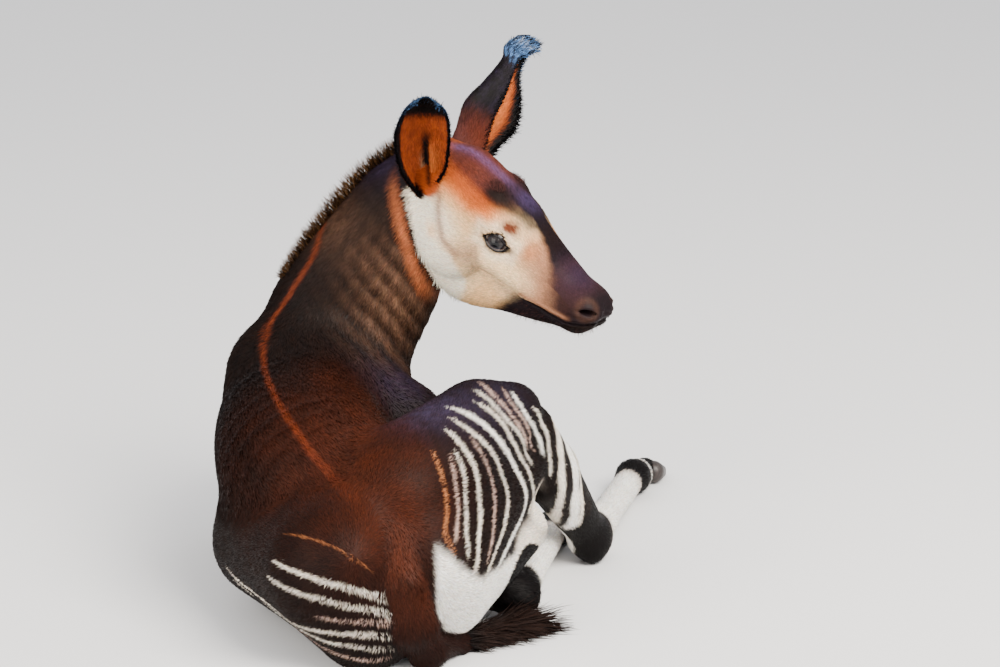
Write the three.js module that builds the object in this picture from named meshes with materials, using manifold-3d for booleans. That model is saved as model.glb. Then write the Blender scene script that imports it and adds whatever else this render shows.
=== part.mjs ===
// Okapi calf at rest on its left hip, seen from behind, the head turned to its right.
// Millimetres, +Z up, +Y the way the trunk points, +X the animal's right.
import * as THREE from 'three';
import Module from 'manifold-3d';

const wasm = await Module();
wasm.setup();

// Sizes that drive the shape
const GAP = 0.3;
const FLOOR = 0;
const CELL_TRUNK = 13;
const CELL_NECK = 11;
const CELL_HEAD = 6;
const CELL_LEG = 9;
const CELL_TAIL = 9;
const HEAD_EYE_R = 14.5;
const EAR_THICK = 4.2;
const MANE_LOCKS = 27;
const TUFT_LOCKS = 12;

const V = (x, y, z) => new THREE.Vector3(x, y, z);
const mix = (a, b, t) => a + (b - a) * t;
const clamp = (x, a, b) => Math.min(b, Math.max(a, x));

// Landmarks of the skeleton
const TRUNK = [
  { at: V(-98, -158, 98), up: V(-0.38, -0.3, 0.88), w: 50, t: 42, b: 48 },
  { at: V(-122, -122, 116), up: V(-0.38, -0.28, 0.88), w: 74, t: 60, b: 66 },
  { at: V(-158, -78, 130), up: V(-0.38, -0.2, 0.9), w: 84, t: 78, b: 84 },
  { at: V(-188, -30, 140), up: V(-0.38, -0.1, 0.92), w: 96, t: 98, b: 106 },
  { at: V(-201, 45, 142), up: V(-0.36, -0.03, 0.93), w: 99, t: 115, b: 142 },
  { at: V(-198, 112, 142), up: V(-0.36, 0, 0.93), w: 99, t: 122, b: 154 },
  { at: V(-190, 170, 146), up: V(-0.36, 0, 0.93), w: 95, t: 112, b: 132 },
  { at: V(-186, 222, 140), up: V(-0.36, 0, 0.93), w: 66, t: 74, b: 100 },
];
const NECK = [
  { at: V(-196, 150, 196), up: V(-0.8, -0.2, 0.57), w: 62, t: 86, b: 80 },
  { at: V(-168, 178, 262), up: V(-0.84, -0.12, 0.52), w: 52, t: 89, b: 82 },
  { at: V(-130, 190, 330), up: V(-0.84, 0, 0.54), w: 45, t: 77, b: 75 },
  { at: V(-98, 194, 388), up: V(-0.8, 0.08, 0.58), w: 40, t: 62, b: 56 },
  { at: V(-66, 190, 432), up: V(-0.6, 0.1, 0.78), w: 38, t: 46, b: 50 },
];
const HIP_R = V(-98, -102, 149);
const HIP_L = V(-168, -160, 101);
const SEAT_R = V(-62, -148, 96);
const SEAT_L = V(-134, -168, 49);
const KNEE_R = V(12, 20, 206);
const KNEE_L = V(-230, 0, 55);
const HOCK_R = V(99, 134, 29);
const HOCK_L = V(16, -47, 29);
const FETLOCK_R = V(157, 371, 20);
const FETLOCK_L = V(60, 188, 19);
const CORONET_R = V(172, 408, 15);
const CORONET_L = V(84, 236, 15);
const TOE_R = V(186, 440, 5);
const TOE_L = V(104, 268, 5);
const SHOULDER_R = V(-122, 196, 128);
const SHOULDER_L = V(-262, 196, 112);
const ELBOW_R = V(-118, 128, 74);
const ELBOW_L = V(-268, 128, 66);
const CARPUS_R = V(-100, 325, 20);
const CARPUS_L = V(-262, 334, 20);
const FORE_FETLOCK_R = V(-122, 152, 15);
const FORE_FETLOCK_L = V(-252, 160, 15);
const FORE_CORONET_R = V(-126, 100, 14);
const FORE_CORONET_L = V(-248, 108, 14);
const FORE_TOE_R = V(-128, 68, 5);
const FORE_TOE_L = V(-246, 76, 5);
const TAIL = [
  { at: V(-104, -162, 128), r: 27 },
  { at: V(-97, -192, 92), r: 26 },
  { at: V(-88, -194, 54), r: 24 },
  { at: V(-74, -180, 18), r: 19 },
  { at: V(-44, -142, 12), r: 13.5 },
  { at: V(-4, -98, 9), r: 10 },
  { at: V(22, -84, 7), r: 7 },
];

// The head has its own frame: a runs from the poll to the nose, u up out of the forehead, r to its right
const POLL = V(-65, 190, 471);
const HEAD_A = V(0.675, -0.375, -0.639).normalize();
const HEAD_R = HEAD_A.clone().cross(V(0.582, -0.264, 0.771)).normalize();
const HEAD_U = HEAD_R.clone().cross(HEAD_A).normalize();
const inHead = (a, u, r) =>
  POLL.clone().addScaledVector(HEAD_A, a).addScaledVector(HEAD_U, u).addScaledVector(HEAD_R, r);

// Fields: each returns about the distance from a point to the shape, negative inside
const smin = (a, b, k) => {
  const h = Math.max(k - Math.abs(a - b), 0) / k;
  return Math.min(a, b) - h * h * k * 0.25;
};
const join = (k, list) => (p) => {
  let d = list[0](p);
  for (let i = 1; i < list.length; i += 1) d = smin(d, list[i](p), k);
  return d;
};

// A limb piece with round ends of radius ra at a and rb at b, pressed to the share flat along side
function cone(a, b, ra, rb, flat = 1, side = V(0, 0, 1)) {
  const squash = (v) => v.addScaledVector(side, v.dot(side) * (1 / flat - 1));
  const s = side.clone().normalize();
  side = s;
  const ba = squash(b.clone().sub(a));
  const l2 = ba.lengthSq();
  const rr = ra - rb;
  const a2 = l2 - rr * rr;
  const pa = V(0, 0, 0);
  const q = V(0, 0, 0);
  return (p) => {
    squash(pa.copy(p).sub(a));
    const y = pa.dot(ba);
    const z = y - l2;
    const x2 = q.copy(pa).multiplyScalar(l2).addScaledVector(ba, -y).lengthSq();
    const y2 = y * y * l2;
    const z2 = z * z * l2;
    const k = Math.sign(rr) * rr * rr * x2;
    if (Math.sign(z) * a2 * z2 > k) return Math.sqrt(x2 + z2) / l2 - rb;
    if (Math.sign(y) * a2 * y2 < k) return Math.sqrt(x2 + y2) / l2 - ra;
    return (Math.sqrt((x2 * a2) / l2) + y * rr) / l2 - ra;
  };
}

// An ellipsoid with its three half sizes along three axes
function egg(c, ax, ay, az, rx, ry, rz) {
  const d = V(0, 0, 0);
  return (p) => {
    d.copy(p).sub(c);
    const x = d.dot(ax);
    const y = d.dot(ay);
    const z = d.dot(az);
    const k0 = Math.hypot(x / rx, y / ry, z / rz);
    const k1 = Math.hypot(x / (rx * rx), y / (ry * ry), z / (rz * rz));
    return k1 < 1e-9 ? -Math.min(rx, ry, rz) : (k0 * (k0 - 1)) / k1;
  };
}

// A body swept along stations that give centre, up, half width, height above and depth below
function sweep(stations, frames = 32, power = 2.2) {
  const line = new THREE.CatmullRomCurve3(stations.map((s) => s.at));
  const ease = (key, t) => {
    const x = t * (stations.length - 1);
    const i = Math.min(stations.length - 2, Math.floor(x));
    const f = x - i;
    const a = stations[Math.max(0, i - 1)][key];
    const b = stations[i][key];
    const c = stations[i + 1][key];
    const d = stations[Math.min(stations.length - 1, i + 2)][key];
    return b + 0.5 * f * (c - a + f * (2 * a - 5 * b + 4 * c - d + f * (3 * (b - c) + d - a)));
  };
  const at = [];
  for (let i = 0; i <= frames; i += 1) {
    const t = i / frames;
    const x = t * (stations.length - 1);
    const j = Math.min(stations.length - 2, Math.floor(x));
    const up = stations[j].up.clone().lerp(stations[j + 1].up, x - j);
    at.push({ p: line.getPoint(t), up, w: ease('w', t), t: ease('t', t), b: ease('b', t) });
  }
  const seg = [];
  for (let i = 0; i < frames; i += 1) {
    const d = at[i + 1].p.clone().sub(at[i].p);
    seg.push({ p: at[i].p, d, l2: d.lengthSq() });
  }
  const pa = V(0, 0, 0);
  const dir = V(0, 0, 0);
  const up = V(0, 0, 0);
  const side = V(0, 0, 0);
  const tangent = at.map((_, i) =>
    at[Math.min(frames, i + 1)].p.clone().sub(at[Math.max(0, i - 1)].p).normalize());
  return (p) => {
    let best = 1e30;
    let bi = 0;
    let bt = 0;
    for (let i = 0; i < frames; i += 1) {
      const s = seg[i];
      pa.copy(p).sub(s.p);
      const t = clamp(pa.dot(s.d) / s.l2, 0, 1);
      const d = pa.addScaledVector(s.d, -t).lengthSq();
      if (d < best) {
        best = d;
        bi = i;
        bt = t;
      }
    }
    const A = at[bi];
    const B = at[bi + 1];
    dir.copy(tangent[bi]).lerp(tangent[bi + 1], bt).normalize();
    up.copy(A.up).lerp(B.up, bt);
    up.addScaledVector(dir, -up.dot(dir)).normalize();
    side.crossVectors(dir, up);
    pa.copy(p).sub(seg[bi].p).addScaledVector(seg[bi].d, -bt);
    const x = pa.dot(side);
    const y = pa.dot(up);
    const z = pa.dot(dir);
    const w = mix(A.w, B.w, bt);
    const h = y > 0 ? mix(A.t, B.t, bt) : mix(A.b, B.b, bt);
    const k0 = Math.pow(
      Math.pow(Math.abs(x) / w, power) + Math.pow(Math.abs(y) / h, power) +
      Math.pow(Math.abs(z) / (0.75 * w), power), 1 / power);
    const far = Math.hypot(x, y, z);
    return k0 < 1e-6 ? -w : Math.max(-0.9 * w, far * (1 - 1 / k0));
  };
}

// Surface of a field on a grid of cells, one vertex a cell, each moved onto the surface
function surface(field, low, high, cell, share = 1) {
  const n = [0, 1, 2].map((i) => Math.ceil((high.getComponent(i) - low.getComponent(i)) / cell) + 1);
  const id = (i, j, k) => i + n[0] * (j + n[1] * k);
  const value = new Float64Array(n[0] * n[1] * n[2]);
  const p = V(0, 0, 0);
  for (let k = 0; k < n[2]; k += 1) {
    for (let j = 0; j < n[1]; j += 1) {
      for (let i = 0; i < n[0]; i += 1) {
        p.set(low.x + i * cell, low.y + j * cell, low.z + k * cell);
        const edge = i === 0 || j === 0 || k === 0 || i === n[0] - 1 || j === n[1] - 1 || k === n[2] - 1;
        value[id(i, j, k)] = edge ? 1e3 : field(p) || 1e-9;
      }
    }
  }
  // Corners of a cell, its edges, and its faces as rings of corners
  const corner = [];
  for (let c = 0; c < 8; c += 1) corner.push([c & 1, (c >> 1) & 1, (c >> 2) & 1]);
  const edges = [];
  for (let a = 0; a < 8; a += 1) {
    for (const bit of [1, 2, 4]) if (!(a & bit)) edges.push([a, a | bit]);
  }
  const edgeOf = (a, b) => edges.findIndex(([c, d]) => (c === a && d === b) || (c === b && d === a));
  const faces = [[0, 1, 3, 2], [4, 5, 7, 6], [0, 1, 5, 4], [2, 3, 7, 6], [0, 2, 6, 4], [1, 3, 7, 5]];
  const grad = (q, e = 0.4) => {
    const g = V(0, 0, 0);
    for (const key of ['x', 'y', 'z']) {
      const was = q[key];
      q[key] = was + e;
      const up = field(q);
      q[key] = was - e;
      g[key] = (up - field(q)) / (2 * e);
      q[key] = was;
    }
    return g;
  };
  // One vertex for each sheet of the surface that crosses a cell
  const vertex = new Map();
  const points = [];
  for (let k = 0; k < n[2] - 1; k += 1) {
    for (let j = 0; j < n[1] - 1; j += 1) {
      for (let i = 0; i < n[0] - 1; i += 1) {
        const v = corner.map((c) => value[id(i + c[0], j + c[1], k + c[2])]);
        const inside = v.filter((x) => x < 0).length;
        if (inside === 0 || inside === 8) continue;
        const sheet = edges.map(([a, b], e) => (v[a] < 0 === v[b] < 0 ? -1 : e));
        const weld = (a, b) => {
          const [x, y] = [sheet[a], sheet[b]];
          sheet.forEach((s, e) => { if (s === y) sheet[e] = x; });
        };
        for (const ring of faces) {
          const cut = ring.map((c, m) => edgeOf(c, ring[(m + 1) % 4]));
          const crossed = cut.filter((e) => sheet[e] >= 0);
          if (crossed.length === 2) weld(crossed[0], crossed[1]);
          if (crossed.length === 4) {
            ring.forEach((c, m) => { if (v[c] < 0) weld(cut[m], cut[(m + 3) % 4]); });
          }
        }
        for (const s of new Set(sheet)) {
          if (s < 0) continue;
          const sum = V(0, 0, 0);
          let count = 0;
          edges.forEach(([a, b], e) => {
            if (sheet[e] !== s) return;
            const t = clamp(v[a] / (v[a] - v[b]), 0.02, 0.98);
            sum.x += mix(corner[a][0], corner[b][0], t);
            sum.y += mix(corner[a][1], corner[b][1], t);
            sum.z += mix(corner[a][2], corner[b][2], t);
            count += 1;
            vertex.set(id(i, j, k) * 12 + e, points.length / 3);
          });
          sum.multiplyScalar(1 / count);
          const q = V(low.x + (i + sum.x) * cell, low.y + (j + sum.y) * cell, low.z + (k + sum.z) * cell);
          const from = q.clone();
          for (let step = 0; step < 3; step += 1) {
            const g = grad(q);
            const l2 = Math.max(g.lengthSq(), 0.05);
            q.addScaledVector(g, clamp(-field(q) / l2, -0.3 * cell, 0.3 * cell));
          }
          const far = q.distanceTo(from);
          if (far > 0.45 * cell) q.sub(from).multiplyScalar((0.45 * cell) / far).add(from);
          points.push(q.x, q.y, q.z);
        }
      }
    }
  }
  const triangles = [];
  const at = (m) => V(points[3 * m], points[3 * m + 1], points[3 * m + 2]);
  const EDGES_UP = [[1, [0, 1, 0], [0, 0, 1]], [2, [0, 0, 1], [1, 0, 0]], [4, [1, 0, 0], [0, 1, 0]]];
  const quad = (a, b, c, d, flip) => {
    const ring = flip ? [a, d, c, b] : [a, b, c, d];
    const [A, B, C, D] = ring.map(at);
    if (A.distanceTo(C) < B.distanceTo(D)) {
      triangles.push(ring[0], ring[1], ring[2], ring[0], ring[2], ring[3]);
    } else {
      triangles.push(ring[1], ring[2], ring[3], ring[1], ring[3], ring[0]);
    }
  };
  for (let k = 0; k < n[2] - 1; k += 1) {
    for (let j = 0; j < n[1] - 1; j += 1) {
      for (let i = 0; i < n[0] - 1; i += 1) {
        const here = value[id(i, j, k)] < 0;
        // The four cells round a grid edge that runs up from this corner, with the edge's place in each
        for (const [bit, u, w] of EDGES_UP) {
          const [x, y, z] = [bit & 1, (bit >> 1) & 1, (bit >> 2) & 1];
          if (here === value[id(i + x, j + y, k + z)] < 0) continue;
          const around = [[1, 1], [0, 1], [0, 0], [1, 0]].map(([m, o]) => {
            const back = [0, 1, 2].map((c) => m * u[c] + o * w[c]);
            const low0 = back[0] + 2 * back[1] + 4 * back[2];
            return vertex.get(id(i - back[0], j - back[1], k - back[2]) * 12 + edgeOf(low0, low0 | bit));
          });
          quad(...around, !here);
        }
      }
    }
  }
  return thinned(points, triangles, share);
}

// Fewer triangles where the surface is flat: edges are drawn together, cheapest first, and it stays closed
function thinned(points, triangles, share) {
  const at = [];
  for (let i = 0; i < points.length; i += 3) at.push(V(points[i], points[i + 1], points[i + 2]));
  const face = [];
  const facesOf = at.map(() => new Set());
  for (let i = 0; i < triangles.length; i += 3) {
    const f = [triangles[i], triangles[i + 1], triangles[i + 2]];
    f.forEach((v) => facesOf[v].add(face.length));
    face.push(f);
  }
  const cross = (a, b, c) => b.clone().sub(a).cross(c.clone().sub(a));
  const error = at.map(() => new Float64Array(10));
  for (const f of face) {
    const [a, b, c] = f.map((v) => at[v]);
    const m = cross(a, b, c);
    const area = m.length() || 1e-9;
    m.divideScalar(area);
    const d = -m.dot(a);
    const q = [
      m.x * m.x, m.x * m.y, m.x * m.z, m.x * d, m.y * m.y, m.y * m.z, m.y * d, m.z * m.z, m.z * d, d * d,
    ];
    for (const v of f) q.forEach((x, i) => { error[v][i] += x * area; });
  }
  const cost = (q, p) => q[0] * p.x * p.x + 2 * q[1] * p.x * p.y + 2 * q[2] * p.x * p.z + 2 * q[3] * p.x +
    q[4] * p.y * p.y + 2 * q[5] * p.y * p.z + 2 * q[6] * p.y + q[7] * p.z * p.z + 2 * q[8] * p.z + q[9];
  const around = (v) => {
    const ring = new Set();
    for (const f of facesOf[v]) face[f].forEach((w) => { if (w !== v) ring.add(w); });
    return ring;
  };
  const heap = [];
  const push = (e) => {
    heap.push(e);
    for (let i = heap.length - 1; i > 0;) {
      const up = (i - 1) >> 1;
      if (heap[up].c <= heap[i].c) break;
      [heap[up], heap[i]] = [heap[i], heap[up]];
      i = up;
    }
  };
  const pop = () => {
    const top = heap[0];
    const last = heap.pop();
    if (heap.length) {
      heap[0] = last;
      for (let i = 0; ;) {
        let low = i;
        for (const j of [2 * i + 1, 2 * i + 2]) if (j < heap.length && heap[j].c < heap[low].c) low = j;
        if (low === i) break;
        [heap[low], heap[i]] = [heap[i], heap[low]];
        i = low;
      }
    }
    return top;
  };
  const stamp = at.map(() => 0);
  const offer = (a, b) => {
    const q = error[a].map((x, i) => x + error[b][i]);
    const middle = at[a].clone().lerp(at[b], 0.5);
    const m = new THREE.Matrix3().set(q[0], q[1], q[2], q[1], q[4], q[5], q[2], q[5], q[7]);
    let best = middle;
    if (Math.abs(m.determinant()) > 1e-3 * (q[0] + q[4] + q[7]) ** 3) {
      const o = V(-q[3], -q[6], -q[8]).applyMatrix3(m.invert());
      if (o.distanceTo(middle) < at[a].distanceTo(at[b])) best = o;
    }
    for (const p of [middle, at[a].clone(), at[b].clone()]) if (cost(q, p) < cost(q, best)) best = p;
    const long = at[a].distanceToSquared(at[b]);
    push({ c: Math.max(0, cost(q, best)) + 0.0006 * long * long, a, b, p: best, s: stamp[a] + stamp[b] });
  };
  for (let a = 0; a < at.length; a += 1) for (const b of around(a)) if (a < b) offer(a, b);
  let count = face.length;
  const target = share * face.length;
  while (count > target && heap.length) {
    const { a, b, p, s } = pop();
    if (!facesOf[a].size || !facesOf[b].size || s !== stamp[a] + stamp[b]) continue;
    const ringA = around(a);
    if (!ringA.has(b)) continue;
    const shared = [...around(b)].filter((v) => ringA.has(v));
    if (shared.length !== 2 || shared.some((v) => facesOf[v].size < 4)) continue;
    let folds = false;
    for (const v of [a, b]) {
      for (const f of facesOf[v]) {
        if (face[f].includes(a) && face[f].includes(b)) continue;
        const was = cross(...face[f].map((w) => at[w]));
        const now = cross(...face[f].map((w) => (w === v ? p : at[w])));
        const size = now.length();
        if (now.dot(was) < 0.5 * size * was.length() || size < 0.4) folds = true;
      }
    }
    if (folds) continue;
    at[a].copy(p);
    error[b].forEach((x, i) => { error[a][i] += x; });
    for (const f of [...facesOf[b]]) {
      if (face[f].includes(a)) {
        face[f].forEach((w) => facesOf[w].delete(f));
        face[f] = null;
        count -= 1;
      } else {
        face[f][face[f].indexOf(b)] = a;
        facesOf[a].add(f);
      }
    }
    facesOf[b].clear();
    stamp[a] += 1;
    for (const v of around(a)) offer(a, v);
  }
  const kept = new Map();
  const outPoints = [];
  const outTriangles = [];
  for (const f of face) {
    if (!f) continue;
    for (const v of f) {
      if (!kept.has(v)) {
        kept.set(v, outPoints.length / 3);
        outPoints.push(at[v].x, at[v].y, at[v].z);
      }
      outTriangles.push(kept.get(v));
    }
  }
  return { points: outPoints, triangles: outTriangles };
}

// The same closed surface with every face moved out by at least the gap
function grown({ points, triangles }) {
  const at = (v) => V(points[3 * v], points[3 * v + 1], points[3 * v + 2]);
  const out = points.map(() => 0);
  const normals = out.map(() => []);
  for (let i = 0; i < triangles.length; i += 3) {
    const [a, b, c] = [0, 1, 2].map((j) => triangles[i + j]);
    const m = at(b).sub(at(a)).cross(at(c).sub(at(a)));
    const area = m.length();
    if (area > 1e-6) for (const v of [a, b, c]) normals[v].push([m.clone().divideScalar(area), area]);
  }
  const moved = points.slice();
  for (let v = 0; v < points.length / 3; v += 1) {
    const way = V(0, 0, 0);
    for (const [m, area] of normals[v]) way.addScaledVector(m, area);
    way.normalize();
    for (let n = 0; n < 8; n += 1) {
      for (const [m] of normals[v]) {
        const short = 0.25 - m.dot(way);
        if (short > 0) way.addScaledVector(m, short).normalize();
      }
    }
    const least = Math.min(...normals[v].map(([m]) => m.dot(way)));
    way.multiplyScalar((1.1 * GAP) / Math.max(0.2, least));
    moved[3 * v] += way.x;
    moved[3 * v + 1] += way.y;
    moved[3 * v + 2] += way.z;
  }
  return solid(moved, triangles);
}

function solid(points, triangles) {
  return new wasm.Manifold(new wasm.Mesh({
    numProp: 3,
    vertProperties: new Float32Array(points),
    triVerts: new Uint32Array(triangles),
  }));
}

// A solid from a ready-made geometry, with its repeated vertices merged
function solidOf(geometry, matrix = new THREE.Matrix4()) {
  const g = geometry.index ? geometry.toNonIndexed() : geometry.clone();
  g.applyMatrix4(matrix);
  const pos = g.attributes.position;
  const seen = new Map();
  const points = [];
  const index = [];
  for (let i = 0; i < pos.count; i += 1) {
    const key = [pos.getX(i), pos.getY(i), pos.getZ(i)].map((x) => Math.round(x * 1e4)).join();
    if (!seen.has(key)) {
      seen.set(key, points.length / 3);
      points.push(pos.getX(i), pos.getY(i), pos.getZ(i));
    }
    index.push(seen.get(key));
  }
  const triangles = [];
  for (let i = 0; i < index.length; i += 3) {
    const [a, b, c] = [index[i], index[i + 1], index[i + 2]];
    if (a !== b && b !== c && c !== a) triangles.push(a, b, c);
  }
  return solid(points, triangles);
}

// The matrix that puts local x, y, z along three axes at a point
const placed = (at, x, y, z) => new THREE.Matrix4().makeBasis(x, y, z).setPosition(at);

// A thin plate across a joint, facing along normal
function plate(at, normal, size, thick = GAP) {
  const z = normal.clone().normalize();
  const x = Math.abs(z.z) < 0.9 ? V(0, 0, 1).cross(z).normalize() : V(1, 0, 0).cross(z).normalize();
  const y = z.clone().cross(x);
  return solidOf(new THREE.BoxGeometry(size, size, thick), placed(at, x, y, z));
}

const largest = (m) => m.decompose().sort((a, b) => b.volume() - a.volume())[0];

// Cuts a solid by plates and gives the piece whose middle is nearest each named point
function parted(body, plates, near) {
  let rest = body;
  for (const tool of plates) rest = rest.subtract(tool);
  const pieces = rest.decompose().sort((a, b) => b.volume() - a.volume());
  const middle = (m) => {
    const b = m.boundingBox();
    return V((b.min[0] + b.max[0]) / 2, (b.min[1] + b.max[1]) / 2, (b.min[2] + b.max[2]) / 2);
  };
  const big = pieces.slice(0, Object.keys(near).length);
  const out = {};
  for (const [name, point] of Object.entries(near)) {
    big.sort((a, b) => middle(a).distanceTo(point) - middle(b).distanceTo(point));
    out[name] = big.shift();
  }
  return out;
}

const FLOOR_BOX = solidOf(new THREE.BoxGeometry(3000, 3000, 400),
  new THREE.Matrix4().makeTranslation(0, 0, FLOOR - 200));
const onFloor = (m) => largest(m.subtract(FLOOR_BOX));

// Trunk with both thighs and upper arms, in one smooth field
const trunkField = join(26, [
  sweep(TRUNK),
  cone(HIP_R, KNEE_R, 70, 33),
  cone(V(-72, -68, 168), V(-26, -4, 204), 62, 44),
  cone(SEAT_R, V(22, 34, 150), 52, 32),
  cone(V(-54, -138, 60), V(24, 0, 84), 42, 27),
  cone(HIP_L, V(-240, -10, 76), 72, 64),
  cone(SEAT_L, V(-193, -26, 48), 56, 54),
  cone(V(-196, 118, 218), SHOULDER_R, 46, 46),
  cone(V(-248, 124, 226), SHOULDER_L, 45, 42),
  cone(V(-160, 125, 196), V(-108, 98, 170), 52, 49),
  cone(SHOULDER_R, ELBOW_R, 46, 36),
  cone(SHOULDER_L, ELBOW_L, 44, 34),
]);
const neckField = sweep(NECK);
const bodyField = (p) => smin(trunkField(p), neckField(p), 34);

// Hind leg from below the knee to the foot
function hindField(knee, hock, fetlock, coronet, side) {
  const down = (t) => knee.clone().lerp(hock, t);
  const on = (t) => hock.clone().lerp(fetlock, t);
  const fold = hock.clone().sub(knee).normalize().sub(on(1).sub(hock).normalize()).normalize();
  const heel = hock.clone().addScaledVector(fold, 17);
  return join(12, [
    cone(down(0.16), down(0.45), 35, 33, 0.9, side),
    cone(down(0.45), down(0.98), 34, 23, 0.85, side),
    cone(hock, heel, 23, 14, 0.8, side),
    cone(hock, on(0.25), 24, 18, 0.9, side),
    cone(on(0.2), on(0.95), 18, 17),
    cone(fetlock, fetlock.clone().lerp(coronet, 0.25), 20, 18),
    cone(fetlock, coronet, 16, 16.5),
  ]);
}

// Forearm from the elbow to the knee, and the cannon folded back under it
function forearmField(elbow, carpus) {
  const mid = elbow.clone().lerp(carpus, 0.4);
  return join(12, [cone(elbow, mid, 32, 26), cone(mid, carpus, 26, 21)]);
}
function foreCannonField(carpus, fetlock, coronet) {
  const on = (t) => carpus.clone().lerp(fetlock, t);
  return join(9, [
    cone(on(0.08), on(0.25), 15, 13.5),
    cone(on(0.25), fetlock, 13.5, 13.5),
    cone(fetlock, fetlock.clone().lerp(coronet, 0.25), 17, 15),
    cone(fetlock, coronet, 14, 14.5),
  ]);
}

// Head with jaw, cheeks and brows; lids, mouth and nostrils are cut below
function headField() {
  const st = (a, u, w, t, b) => ({ at: inHead(a, u, 0), up: HEAD_U, w, t, b });
  const skull = sweep([
    st(12, -30, 40, 30, 36), st(50, -26, 51, 45, 46), st(99, -26, 52, 47, 44),
    st(137, -25, 46, 46, 40), st(175, -22, 38, 34, 36), st(215, -20, 31, 28, 30),
    st(247, -20, 28, 26, 25),
  ], 28, 2.1);
  const jaw = sweep([
    st(48, -66, 32, 26, 34), st(92, -86, 33, 34, 38), st(130, -88, 30, 30, 34),
    st(170, -71, 25, 24, 25), st(212, -54, 20, 16, 17), st(250, -37, 18, 10, 10),
  ], 24, 2.1);
  const list = [skull, jaw];
  for (const s of [-1, 1]) {
    list.push(egg(inHead(92, -66, 33 * s), HEAD_A, HEAD_U, HEAD_R, 44, 36, 21));
    list.push(egg(inHead(118, -12, 32 * s), HEAD_A, HEAD_U, HEAD_R, 28, 14, 18));
    list.push(egg(inHead(98, 7, 25 * s), HEAD_A, HEAD_U, HEAD_R, 13, 9, 11));
    list.push(cone(inHead(138, -46, 40 * s), inHead(196, -38, 27 * s), 11, 8));
    list.push(egg(inHead(249, -12, 15 * s), HEAD_A, HEAD_U, HEAD_R, 20, 14, 14));
    list.push(cone(inHead(198, -40, 24 * s), inHead(258, -25, 16 * s), 9, 8));
  }
  return join(14, list);
}

// One lobe of soft locks: a flat tapered blade that starts under the skin, rises along out and bends to lie
function lock(root, out, lie, length, width, thick, sink) {
  const steps = [-sink / length, 0.35, 0.72];
  const share = [0.9, 1, 0.62];
  const across = out.clone().cross(lie).normalize();
  const points = [];
  const triangles = [];
  const spine = (t) => root.clone().addScaledVector(out, length * t * (1 - 0.35 * Math.max(t, 0)))
    .addScaledVector(lie, length * 0.75 * Math.max(t, 0) * t);
  steps.forEach((t, i) => {
    const c = spine(t);
    const d = spine(t + 0.05).sub(spine(t - 0.05)).normalize();
    const face = d.clone().cross(across).normalize();
    for (const [x, y] of [[1, 0], [0, 1], [-1, 0], [0, -1]]) {
      const q = c.clone().addScaledVector(across, 0.5 * x * width * share[i])
        .addScaledVector(face, 0.5 * y * thick * share[i]);
      points.push(q.x, q.y, q.z);
    }
  });
  const tip = spine(1);
  points.push(tip.x, tip.y, tip.z);
  for (let i = 0; i < 2; i += 1) {
    for (let j = 0; j < 4; j += 1) {
      const [a, b] = [4 * i + j, 4 * i + ((j + 1) % 4)];
      triangles.push(a, b, b + 4, a, b + 4, a + 4);
    }
  }
  for (let j = 0; j < 4; j += 1) triangles.push(8 + j, 8 + ((j + 1) % 4), 12);
  triangles.push(0, 2, 1, 0, 3, 2);
  const made = solid(points, triangles);
  return made.volume() < 0 ? solid(points, triangles.reverse()) : made;
}

// Repeatable random numbers
function seeded(seed) {
  let s = seed;
  return () => {
    s = (s * 16807) % 2147483647;
    return s / 2147483647;
  };
}

// Ears: rows from the root up, each with the near rim, the far rim, the middle of the back and half its turn
const EARS = {
  ear_right: [
    [V(-84, 150, 404), V(-70, 150, 412), V(-78, 170, 412), 2.2],
    [V(-90, 146, 411), V(-69, 142, 421), V(-79, 165, 420), 2.1],
    [V(-106, 124, 440), V(-57, 119, 445), V(-82, 156, 443), 1.75],
    [V(-112, 114, 470), V(-53, 109, 469), V(-82, 143, 471), 1.5],
    [V(-111, 106, 491), V(-52, 102, 489), V(-82, 130, 493), 1.4],
    [V(-104, 97, 510), V(-54, 94, 508), V(-80, 112, 515), 1.3],
    [V(-92, 86, 524), V(-63, 85, 521), V(-79, 92, 529), 1.2],
    [V(-83, 77, 529), V(-71, 76, 528), V(-77, 80, 535), 1.1],
  ],
  ear_left: [
    [V(-26, 205, 432), V(-16, 228, 427), V(-56, 212, 453), 2.2],
    [V(-17, 210, 448), V(-7, 236, 443), V(-49, 215, 469), 2.1],
    [V(-9, 212, 478), V(13, 248, 464), V(-37, 219, 500), 1.8],
    [V(5, 222, 506), V(19, 256, 494), V(-16, 233, 522), 1.6],
    [V(15, 236, 530), V(19, 262, 523), V(1, 247, 542), 1.5],
    [V(22, 246, 543), V(28, 266, 541), V(5, 256, 555), 1.3],
    [V(40, 256, 550), V(41, 270, 553), V(18, 264, 565), 1.2],
  ],
};

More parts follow.
